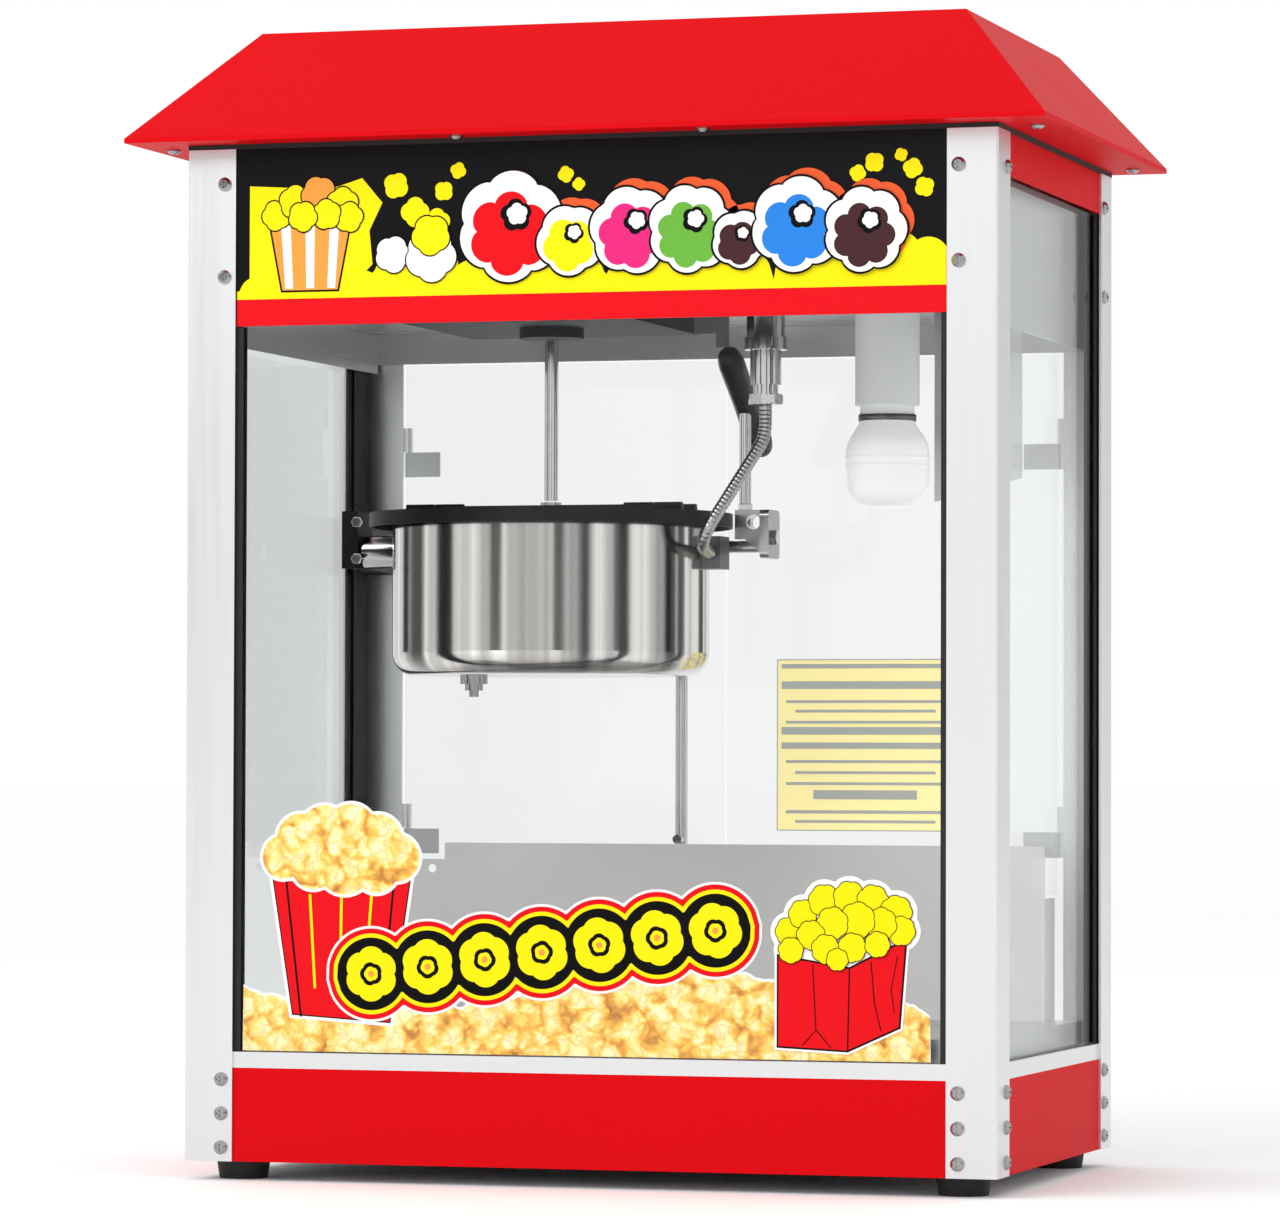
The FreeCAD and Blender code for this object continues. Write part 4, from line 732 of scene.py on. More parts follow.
def puff(x: float, z: float, radius: float, lobes: int = 6, bite: float = 0.13, lean: float = 0.0,
         squash: float = 1.0) -> list[Point2]:
    """The outline of one popped kernel: a round shape with soft lobes.

    Args:
        x: The middle's place across.
        z: The middle's height.
        radius: How far the lobes reach.
        lobes: How many lobes it has.
        bite: How deep the dips between lobes are, as a share of the radius.
        lean: How far the lobes are turned, in radians.
        squash: Height as a share of width.

    Returns:
        The outline's points.
    """
    count = lobes * 14
    made = []
    for step in range(count):
        angle = 2 * math.pi * step / count
        reach = radius * (1 - bite * (1 - abs(math.sin(lobes * (angle + lean) / 2)) ** 0.7))
        made.append((x + math.cos(angle) * reach, z + math.sin(angle) * reach * squash))
    return made


def cluster(circles: Sequence[tuple[float, float, float]], grow: float = 0.0,
            count: int = 220) -> list[Point2]:
    """The outline round overlapping circles that all surround one middle.

    Args:
        circles: Middle and radius of each circle.
        grow: How much further out the outline runs.
        count: How many points it has.

    Returns:
        The outline's points.
    """
    middle = Vector((sum(c[0] for c in circles), sum(c[1] for c in circles))) / len(circles)
    made = []
    for step in range(count):
        ray = Vector((math.cos(2 * math.pi * step / count), math.sin(2 * math.pi * step / count)))
        reach = 1.0
        for x, z, radius in circles:
            away = Vector((x, z)) - middle
            along = away.dot(ray)
            inside = (radius + grow) ** 2 - (away.length_squared - along ** 2)
            if inside > 0:
                reach = max(reach, along + math.sqrt(inside))
        made.append(tuple(middle + ray * reach))
    return made


def wavy_band(start: Point2, end: Point2, radius: float, lobes: int, grow: float,
              count: int = 200) -> list[Point2]:
    """A slanted band whose long edges bulge once for each lobe.

    Args:
        start: Middle of the first lobe.
        end: Middle of the last lobe.
        radius: Reach of each lobe.
        lobes: How many lobes there are.
        grow: How much further out the outline runs.
        count: Points along each long edge.

    Returns:
        The outline's points.
    """
    first, last = Vector(start), Vector(end)
    along = (last - first).normalized()
    across = Vector((-along.y, along.x))
    length = (last - first).length
    middles = [length * lobe / (lobes - 1) for lobe in range(lobes)]
    reach = radius + grow
    upper, lower = [], []
    for step in range(count + 1):
        place = -reach + (length + 2 * reach) * step / count
        height = max(math.sqrt(max(0.0, reach ** 2 - (place - middle) ** 2)) for middle in middles)
        upper.append(tuple(first + along * place + across * height))
        lower.append(tuple(first + along * place - across * height))
    return upper + lower[-2:0:-1]


def thick_line(points: Sequence[Point2], width: float) -> list[Point2]:
    """The outline of a drawn line.

    Args:
        points: The line's corners.
        width: Its width.

    Returns:
        The outline's points.
    """
    left, right = [], []
    for index, spot in enumerate(points):
        before = Vector(points[max(0, index - 1)])
        after = Vector(points[min(len(points) - 1, index + 1)])
        run = (after - before).normalized()
        side = Vector((-run.y, run.x)) * width / 2
        left.append(tuple(Vector(spot) + side))
        right.append(tuple(Vector(spot) - side))
    return left + right[::-1]


def grown(points: Sequence[Point2], amount: float) -> list[Point2]:
    """An outline moved outwards.

    Args:
        points: The outline's corners, in order.
        amount: How far each side moves.

    Returns:
        The larger outline's corners.
    """
    count = len(points)
    area = sum(points[i][0] * points[(i + 1) % count][1] - points[(i + 1) % count][0] * points[i][1]
               for i in range(count))
    way = 1.0 if area > 0 else -1.0
    made = []
    for index, spot in enumerate(points):
        before, here, after = Vector(points[index - 1]), Vector(spot), Vector(points[(index + 1) % count])
        first, second = (here - before).normalized(), (after - here).normalized()
        normal = (Vector((first.y, -first.x)) + Vector((second.y, -second.x))) * way
        made.append(tuple(here + normal.normalized() * amount / max(0.35, normal.length / 2)))
    return made


@dataclass
class Artwork:
    """Thin printed film on one upright face, stacked in layers.

    Coordinates are millimetres across the cabinet and over the posts' feet.
    """

    name: str
    face: float
    outward: float = -1.0
    body: Body = Body.CABINET
    step: float = 0.035
    gap: float = 0.02
    stacks: dict[Finish, list[tuple[int, list[Point2]]]] = field(default_factory=dict)
    top: int = 0

    def lay(self, finish: Finish, *outlines: Sequence[Point2], same_layer: bool = False) -> None:
        """Print outlines over what is there already.

        Args:
            finish: The film's colour.
            outlines: The shapes to print.
            same_layer: True if the shapes don't overlap the layer last printed.
        """
        if not same_layer:
            self.top += 1
        for outline in outlines:
            self.stacks.setdefault(finish, []).append((self.top, list(outline)))

    def make(self) -> list[bpy.types.Object]:
        """Build one object for each colour, riding the artwork's body.

        Returns:
            The film's pieces, one for each colour.
        """
        made = []
        for finish, sheets in self.stacks.items():
            shape = bmesh.new()
            for layer, outline in sheets:
                self._press(shape, layer, outline)
            piece = mesh_piece(f"{self.name}_{finish.name}", shape, finish, smooth=False)
            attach(piece, self.body.value)
            made.append(piece)
        return made

    def _press(self, shape: bmesh.types.BMesh, layer: int, outline: Sequence[Point2]) -> None:
        """Add one film shape as a closed wafer.

        Args:
            shape: The shape to add to.
            layer: Which layer it is in.
            outline: Its outline.
        """
        near = self.face + self.outward * (self.gap + self.step * (layer - 1)) * MM
        far = near + self.outward * self.step * 0.9 * MM
        rings = []
        for depth in (near, far):
            ring = []
            for x, z in outline:
                spot = machine_point(x, 0, z)
                ring.append(shape.verts.new((spot.x, depth, spot.z)))
            rings.append(ring)
        count = len(outline)
        shape.faces.new(rings[0][::-1])
        shape.faces.new(rings[1])
        for index in range(count):
            after = (index + 1) % count
            shape.faces.new((rings[0][index], rings[0][after], rings[1][after], rings[1][index]))


# ------------------------------------------------------------------ sub-assemblies


@dataclass
class FrameDress:
    """Dresses the frame's own nodes."""

    finishes: dict[Finish, str] = field(default_factory=lambda: {
        Paint.POST: "post_front_left post_front_right post_rear_left post_rear_right",
        Paint.SILL: "sill_frame",
        Paint.RED: "roof_shell base_front_panel base_rear_panel base_left_panel base_right_panel side_bands",
        Paint.RUBBER: "roof_gasket feet glass_seals",
        Paint.CEILING: "ceiling_plate",
        Paint.STRAP: "door_hinges door_left_straps door_right_straps",
        Paint.SHEET: "base_pan floor_tray rear_board crumb_drawer lamp_shield",
        Paint.DAM: "dam_plate",
        Paint.SIDE_SHEET: "left_board right_board",
        Paint.GLASS: "front_glass left_glass right_glass",
        Paint.ACRYLIC: "door_left door_right",
        Paint.BLACK_FIELD: "sign_board",
        Paint.PLATE_BLACK: "motor_plate kettle_arm",
        Paint.MOTOR: "gear_motor heater_ring",
        Paint.SOCKET: "lamp_socket",
        Paint.GLOBE: "lamp_globe",
        Paint.BRIGHT: "lead_connector drive_shaft pull_bar handle_stem pivot_boss",
        Paint.ARMOUR: "kettle_lead",
        Paint.CAST: "handle_bracket kettle_pan agitator",
        Paint.SCREW: "pan_screws base_bolt",
        Paint.DARK_STEEL: "handle_stop terminal_cover",
        Paint.LID_BLACK: "lid_bridge lid_flap_front lid_flap_rear",
        Paint.GRIP: "handle_grip",
        Paint.SWITCH: "motor_rocker lamp_rocker inlet_gland",
        Paint.LIT_SWITCH: "heat_rocker"})

    def dress(self) -> None:
        """Give every node its finish."""
        for finish, names in self.finishes.items():
            for name in names.split():
                self._wear(name, finish)
        low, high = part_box("kettle_shell")
        # The kettle's steel has painted reflection bands in its base colour.
        spun = SpunSteelPaintedReflections("spun_kettle_steel_painted_reflections", (0.84, 0.82, 0.79), ((low.x + high.x) / 2, (low.y + high.y) / 2),
                         (high.y - low.y) / 2)
        self._wear("kettle_shell", spun)

    @staticmethod
    def _wear(name: str, finish: Finish) -> None:
        """Put a finish on one node.

        Args:
            name: The node.
            finish: Its finish.
        """
        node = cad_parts[name]
        node.data.materials.clear()
        node.data.materials.append(finish.material())
        LOG.info("%s wears %s", name, finish.name)


@dataclass
class SupplyLead:
    """The armoured lead from the gland under the ceiling to the kettle's terminal cover."""

    radius: float = 3.9
    rib: float = 0.28
    pitch: float = 2.6
    sides: int = 20
    bend_share: float = 0.45
    arc_steps: int = 14

    def route(self) -> list[Vector]:
        """Points along the lead's middle, in metres.

        Returns:
            The points, from the gland to the cover.
        """
        gland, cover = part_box("lead_connector"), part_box("terminal_cover")
        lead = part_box("kettle_lead")
        top = Vector(((gland[0].x + gland[1].x) / 2, (gland[0].y + gland[1].y) / 2, gland[0].z))
        reach = self.radius * MM
        corners = [top, top - Vector((0, 0, 19.5 * MM)),
                   Vector((top.x - 35.7 * MM, top.y - 24 * MM, top.z - 85 * MM)),
                   Vector((top.x - 39.2 * MM, cover[0].y - 0.8 * MM, top.z - 90 * MM))]
        LOG.info("lead spans %.1f mm down", (lead[1].z - lead[0].z + 2 * reach) / MM)
        return self._fillet(corners)

    def _fillet(self, corners: Sequence[Vector]) -> list[Vector]:
        """Join straight runs with tangent arcs.

        Args:
            corners: The route's corners.

        Returns:
            Close points along the rounded route.
        """
        made = [corners[0]]
        for before, corner, after in zip(corners, corners[1:], corners[2:]):
            back, ahead = before - corner, after - corner
            reach = self.bend_share * min(back.length, ahead.length)
            first, last = corner + back.normalized() * reach, corner + ahead.normalized() * reach
            turn = math.pi - back.angle(ahead)
            radius = reach / math.tan(turn / 2)
            hub = corner + (back.normalized() + ahead.normalized()).normalized() * math.hypot(radius, reach)
            for step in range(self.arc_steps + 1):
                made.append(hub + (first - hub).slerp(last - hub, step / self.arc_steps) * radius)
        return made + [corners[-1]]

    def make(self) -> bpy.types.Object:
        """Build the ribbed tube along its rounded route from the cabinet's gland to the kettle's cover.

        Returns:
            The lead.
        """
        line = self._spread(self.route(), self.pitch * MM / 4)
        shape = bmesh.new()
        rings: list[list[bmesh.types.BMVert]] = []
        side = Vector((1, 0, 0))
        for index, spot in enumerate(line):
            run = (line[min(index + 1, len(line) - 1)] - line[max(index - 1, 0)]).normalized()
            side = (side - run * side.dot(run)).normalized()
            other = run.cross(side)
            reach = (self.radius - self.rib * (index % 4 in (0, 1))) * MM
            ring = []
            for step in range(self.sides):
                angle = 2 * math.pi * step / self.sides
                ring.append(shape.verts.new(spot + (side * math.cos(angle) + other * math.sin(angle)) * reach))
            rings.append(ring)
        for low, high in zip(rings, rings[1:]):
            for step in range(self.sides):
                after = (step + 1) % self.sides
                shape.faces.new((low[step], low[after], high[after], high[step]))
        shape.faces.new(rings[0][::-1])
        shape.faces.new(rings[-1])
        piece = mesh_piece("armoured_lead", shape, Paint.ARMOUR)
        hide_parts("kettle_lead")
        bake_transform(piece)
        return piece

    @staticmethod
    def _spread(line: Sequence[Vector], step: float) -> list[Vector]:
        """Space points evenly along a line.

        Args:
            line: The line's points.
            step: The distance between new points.

        Returns:
            The evenly spaced points.
        """
        made, rest = [line[0]], 0.0
        for low, high in zip(line, line[1:]):
            length = (high - low).length
            place = step - rest
            while place <= length:
                made.append(low.lerp(high, place / length))
                place += step
            rest = length - (place - step)
        return made


@dataclass
class Handle:
    """The round black grip on the kettle's upright stem, and the bracket's nuts."""

    grip_radius: float = 8.3
    grip_half: float = 43.0
    grip_tilt: float = 35.0
    nut_radius: float = 4.6
    nut_height: float = 4.0

    def make(self) -> list[bpy.types.Object]:
        """Build the grip and the small nuts that hold the bracket.

        Returns:
            The grip and the nuts.
        """
        low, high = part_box("handle_grip")
        middle = (low + high) / 2
        tilt = math.radians(self.grip_tilt)
        slope = facing((0, math.cos(tilt), -math.sin(tilt)), middle)
        end = self.grip_half + self.grip_radius * 0.75
        neck, waist = self.grip_radius * 0.72, self.grip_radius * 0.93
        profile = [(0, -end), (neck, -end), (self.grip_radius, -end + 9), (waist, 0),
                   (self.grip_radius, end - 9), (neck, end), (0, end)]
        grip = mesh_piece("round_grip", lathe(rounded_profile(profile, 5.5, 8), slope), Paint.GRIP)
        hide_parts("handle_grip")
        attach(grip, Body.KETTLE.value)
        return [grip, self._nuts()]

    def _nuts(self) -> bpy.types.Object:
        """The two locking nuts under the bracket and on its pin.

        Returns:
            The nuts, riding the kettle.
        """
        low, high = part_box("handle_bracket")
        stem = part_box("handle_stem")
        foot = Vector(((stem[0].x + stem[1].x) / 2, (stem[0].y + stem[1].y) / 2, high.z))
        edge = [(0, 0), (self.nut_radius, 0), (self.nut_radius, self.nut_height), (0, self.nut_height)]
        hexes = [lathe(rounded_profile(edge, 0.5, 2), facing((0, 0, 1), foot), 6)]
        face = Vector((high.x, foot.y, (low.z + high.z) / 2 - 2 * MM))
        pin = rounded_profile([(0, 0), (5.2, 0), (5.2, 2.6), (0, 2.6)], 0.5, 2)
        hexes.append(lathe(pin, facing((1, 0, 0), face), 6))
        nuts = mesh_piece("bracket_nuts", joined(hexes), Paint.BRIGHT, smooth=False)
        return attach(nuts, Body.KETTLE.value)


@dataclass
class Lamp:
    """The opal globe with its two seam lines."""

    neck: float = 16.4
    wide: float = 25.6
    seam: float = 0.7

    def make(self) -> list[bpy.types.Object]:
        """Build the globe under its socket, and the dark collar round its neck.

        Returns:
            The globe and its collar.
        """
        low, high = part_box("lamp_globe")
        tall = (high.z - low.z) / MM
        foot = Vector(((low.x + high.x) / 2, (low.y + high.y) / 2, low.z))
        body = rounded_profile([(0, 0), (self.wide * 0.62, 0.4), (self.wide * 0.97, 9), (self.wide, 23),
                                (self.wide, 38), (self.neck * 1.22, 47), (self.neck, 52), (self.neck, tall),
                                (0, tall)], 7.0, 10)
        seams = [(radius + self.seam * self._near(height), height) for radius, height in self._fine(body)]
        globe = mesh_piece("opal_lamp_globe", lathe(seams, facing((0, 0, 1), foot), 72), Paint.GLOBE)
        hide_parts("lamp_globe")
        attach(globe, Body.CABINET.value)
        edge = [(self.neck - 1, tall - 4.5), (self.neck + 1.2, tall - 4.5), (self.neck + 1.2, tall - 0.6),
                (self.neck - 1, tall - 0.6), (self.neck - 1, tall - 4.5)]
        collar = mesh_piece("globe_collar", lathe(edge, facing((0, 0, 1), foot), 72), Paint.DARK_STEEL)
        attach(collar, Body.CABINET.value)
        return [globe, collar]

    @staticmethod
    def _fine(profile: Sequence[Point2]) -> list[Point2]:
        """Cut long runs of a profile into short ones.

        Args:
            profile: Radius and height pairs.

        Returns:
            The same profile with more points.
        """
        made = [profile[0]]
        for low, high in zip(profile, profile[1:]):
            pieces = max(1, round(math.dist(low, high) / 0.8))
            made += [(low[0] + (high[0] - low[0]) * k / pieces, low[1] + (high[1] - low[1]) * k / pieces)
                     for k in range(1, pieces + 1)]
        return made

    @staticmethod
    def _near(height: float) -> float:
        """How far a height stands in one of the two seam beads, from 0 to 1."""
        return sum(max(0.0, 1 - abs(height - bead) / 1.3) for bead in (25.0, 30.0))


@dataclass
class HangerBolts:
    """Hex bolts on the front of the kettle arm's block, and the nuts on the supply outlet."""

    radius: float = 3.6
    height: float = 3.0
    face: float = 24.0
    places: tuple[Point2, ...] = ((-204.7, 366.5), (-204.7, 389.5))
    lock_nut: tuple[Point2, ...] = ((9.3, 35.5), (13.6, 35.5), (13.6, 41.0), (9.3, 41.0))
    gland_nut: tuple[Point2, ...] = ((7.9, 0.6), (10.9, 0.6), (10.9, 5.8), (7.9, 5.8))
    lock_sides: int = 6
    gland_sides: int = 8

    def make(self) -> list[bpy.types.Object]:
        """Build the bolts and the two hex nuts of the outlet.

        Returns:
            The bolts and the outlet's nuts.
        """
        head = rounded_profile(self._head(), 0.5, 2)
        shapes = [lathe(head, facing((0, -1, 0), machine_point(x, self.face, z)), 6) for x, z in self.places]
        bolts = mesh_piece("arm_bolts", joined(shapes), Paint.SCREW, smooth=False)
        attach(bolts, Body.CABINET.value)
        return [bolts, self._outlet_nut()]

    def _head(self) -> list[Point2]:
        """A bolt head's profile."""
        return [(0, 0), (self.radius, 0), (self.radius, self.height), (0, self.height)]

    def _outlet_nut(self) -> bpy.types.Object:
        """The hex lock nut and knurled gland nut round the supply outlet.

        Returns:
            The nuts, riding the cabinet.
        """
        low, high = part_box("lead_connector")
        foot = Vector(((low.x + high.x) / 2, (low.y + high.y) / 2, low.z))
        nuts = ((self.lock_nut, self.lock_sides), (self.gland_nut, self.gland_sides))
        shapes = [lathe([*profile, profile[0]], facing((0, 0, 1), foot), sides) for profile, sides in nuts]
        nut = mesh_piece("outlet_nuts", joined(shapes), Paint.BRIGHT, smooth=False)
        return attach(nut, Body.CABINET.value)


@dataclass
class SwitchBezels:
    """Raised rims round the three rockers on the rear control board."""

    border: float = 3.2
    height: float = 1.6
    corner: float = 2.5
    half_wide: float = 9.3
    half_high: float = 13.3

    def make(self) -> bpy.types.Object:
        """Build the rims on the board's rear face.

        Returns:
            The rims, as one piece.
        """
        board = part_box("rear_board")
        shape = bmesh.new()
        for name in ("heat_rocker", "motor_rocker", "lamp_rocker"):
            low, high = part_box(name)
            middle = Vector(((low.x + high.x) / 2, board[1].y, (low.z + high.z) / 2))
            self._rim(shape, middle, self.half_wide, self.half_high)
        rims = mesh_piece("switch_bezels", shape, Paint.SWITCH, smooth=False)
        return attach(rims, Body.CABINET.value)

    def _rim(self, shape: bmesh.types.BMesh, middle: Vector, half_wide: float, half_high: float) -> None:
        """Add one rim.

        Args:
            shape: The shape to add to.
            middle: The opening's middle, on the board's face.
            half_wide: Half the opening's width, in millimetres.
            half_high: Half its height.
        """
        loops = []
        for grow, lift in ((0.0, 0.05), (0.0, self.height), (self.border * 0.75, self.height),
                           (self.border, self.height * 0.4), (self.border, 0.05)):
            loop = []
            for x, z in self._rounded_box(half_wide + grow, half_high + grow, self.corner * (0.4 + grow / 4)):
                loop.append(shape.verts.new(middle + Vector((x * MM, lift * MM, z * MM))))
            loops.append(loop)
        count = len(loops[0])
        for low, high in zip(loops, loops[1:] + loops[:1]):
            for index in range(count):
                after = (index + 1) % count
                shape.faces.new((low[index], low[after], high[after], high[index]))

    @staticmethod
    def _rounded_box(half_wide: float, half_high: float, radius: float) -> list[Point2]:
        """Points round a box with rounded corners.

        Args:
            half_wide: Half the box's width.
            half_high: Half its height.
            radius: The corners' radius.

        Returns:
            The points, in order.
        """
        made = []
        for quarter, (sx, sz) in enumerate(((1, 1), (-1, 1), (-1, -1), (1, -1))):
            for step in range(6):
                angle = math.pi / 2 * (quarter + step / 5)
                made.append((sx * (half_wide - radius) + radius * math.cos(angle),
                             sz * (half_high - radius) + radius * math.sin(angle)))
        return made


@dataclass
class SignArt:
    """Coloured kernels over a yellow heap on the black sign board. No lettering."""

    left: float = -219.0
    right: float = 219.0
    strip_top: float = 516.0
    bottom: float = 500.0

    def make(self) -> list[bpy.types.Object]:
        """Print the sign.

        Returns:
            The film's pieces.
        """
        art = Artwork("sign_print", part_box("sign_board")[0].y)
        self._ground(art)
        self._cone(art)
        self._rays(art)
        self._kernels(art)
        return art.make()

    def _ground(self, art: Artwork) -> None:
        """The red strip and the lumpy yellow heap over it.

        Args:
            art: The artwork to print on.
        """
        art.lay(Paint.RED_FILM, [(self.left, self.bottom), (self.right, self.bottom),
                                 (self.right, self.strip_top), (self.left, self.strip_top)])
        bumps = [(-208, 520, 9), (-196, 518, 8), (-182, 516, 12), (-140, 516, 16), (-118, 528, 14), (-96, 533, 17),
                 (-70, 523, 14), (-48, 528, 12), (-25, 520, 14), (0, 525, 12), (26, 521, 14), (50, 524, 13), (76, 527, 12),
                 (100, 524, 14), (128, 527, 12), (150, 524, 14), (172, 532, 13), (190, 534, 14), (208, 531, 13)]
        edge = []
        steps = 300
        for step in range(steps + 1):
            x = self.left + (self.right - self.left) * step / steps
            tops = [z + math.sqrt(r ** 2 - (x - cx) ** 2) for cx, z, r in bumps if abs(x - cx) < r]
            edge.append((x, max([self.strip_top + 5, *tops])))
        art.lay(Paint.YELLOW_FILM, [(self.left, self.strip_top), (self.right, self.strip_top)] + edge[::-1],
                same_layer=True)

    def _cone(self, art: Artwork) -> None:
        """A plain tub of popped corn at the left, on a yellow patch.

        Args:
            art: The artwork to print on.
        """
        patch = [(-210, 524), (-146, 524), (-134, 536), (-136, 556), (-128, 572), (-140, 586), (-160, 580), (-210, 583)]
        art.lay(Paint.YELLOW_FILM, grown(patch, 1.0))
        tub = [(-198, 562), (-147, 562), (-155, 521), (-190, 521)]
        art.lay(Paint.INK, grown(tub, 1.2))
        art.lay(Paint.ORANGE_FILM, tub)
        for x in (-188, -172.5, -157):
            art.lay(Paint.WHITE_FILM, [(x - 3, 561), (x + 3, 561), (x * 0.86 - 21.5, 522), (x * 0.86 - 26.5, 522)],
                    same_layer=x > -188)
        for x, z, r in ((-194, 566, 9), (-182, 574, 10), (-167, 578, 11), (-152, 572, 10), (-148, 564, 9),
                        (-162, 566, 9), (-177, 565, 9)):
            self._puff(art, x, z, r, Paint.ORANGE_FILM if r > 10 else Paint.YELLOW_FILM)

    def _puff(self, art: Artwork, x: float, z: float, radius: float, finish: Finish) -> None:
        """One inked kernel.

        Args:
            art: The artwork to print on.
            x: The middle's place across.
            z: The middle's height.
            radius: How far the lobes reach.
            finish: The kernel's colour.
        """
        lean = random.Random(round(x * 7 + z)).uniform(0, 2)
        art.lay(Paint.INK, puff(x, z, radius + 0.9, 5, 0.14, lean))
        art.lay(finish, puff(x, z, radius, 5, 0.14, lean))

    def _rays(self, art: Artwork) -> None:
        """Loose yellow kernels over the heap.

        Args:
            art: The artwork to print on.
        """
        small = ((-118, 582, 8), (-106, 566, 9), (-92, 560, 8), (-88, 578, 6), (-79, 590, 5), (-12, 586, 5), (-4, 580, 4),
                 (166, 582, 5), (176, 588, 6), (199, 584, 6), (206, 573, 6), (192, 592, 4))
        art.lay(Paint.YELLOW_FILM, *(puff(x, z, r, 4, 0.2, x) for x, z, r in small))
        for x, z, r in ((-120, 541, 11), (-96, 540, 16)):
            self._puff(art, x, z, r, Paint.WHITE_FILM)
        self._puff(art, -96, 552, 12, Paint.YELLOW_FILM)

    def _kernels(self, art: Artwork) -> None:
        """The row of large kernels, each with a white rim and a coloured heart.

        Args:
            art: The artwork to print on.
        """
        row = ((-46, 556, 33, Paint.RED_FILM, 6), (-9, 547, 21, Paint.YELLOW_FILM, 5),
               (29, 552, 26, Paint.MAGENTA_FILM, 6), (65, 552, 26, Paint.GREEN_FILM, 7),
               (95, 545, 17, Paint.MAROON_FILM, 5), (130, 553, 28, Paint.BLUE_FILM, 6),
               (171, 549, 25, Paint.MAROON_FILM, 7))
        for x, z, radius, finish, lobes in row[1:]:
            art.lay(Paint.FLAME_FILM, puff(x + 4, z + 5, radius, lobes, 0.1, x), same_layer=x > -9)
        for x, z, radius, finish, lobes in row:
            art.lay(Paint.INK, puff(x, z, radius + 1.4, lobes, 0.12, x))
            art.lay(Paint.WHITE_FILM, puff(x, z, radius, lobes, 0.12, x))
            art.lay(finish, puff(x - 1, z - radius * 0.13, radius * 0.76, lobes, 0.2, x))
            art.lay(Paint.INK, puff(x + radius * 0.1, z + radius * 0.2, radius * 0.3, 5, 0.2, x + 1))
            art.lay(Paint.WHITE_FILM, puff(x + radius * 0.12, z + radius * 0.22, radius * 0.2, 5, 0.2, x + 1))


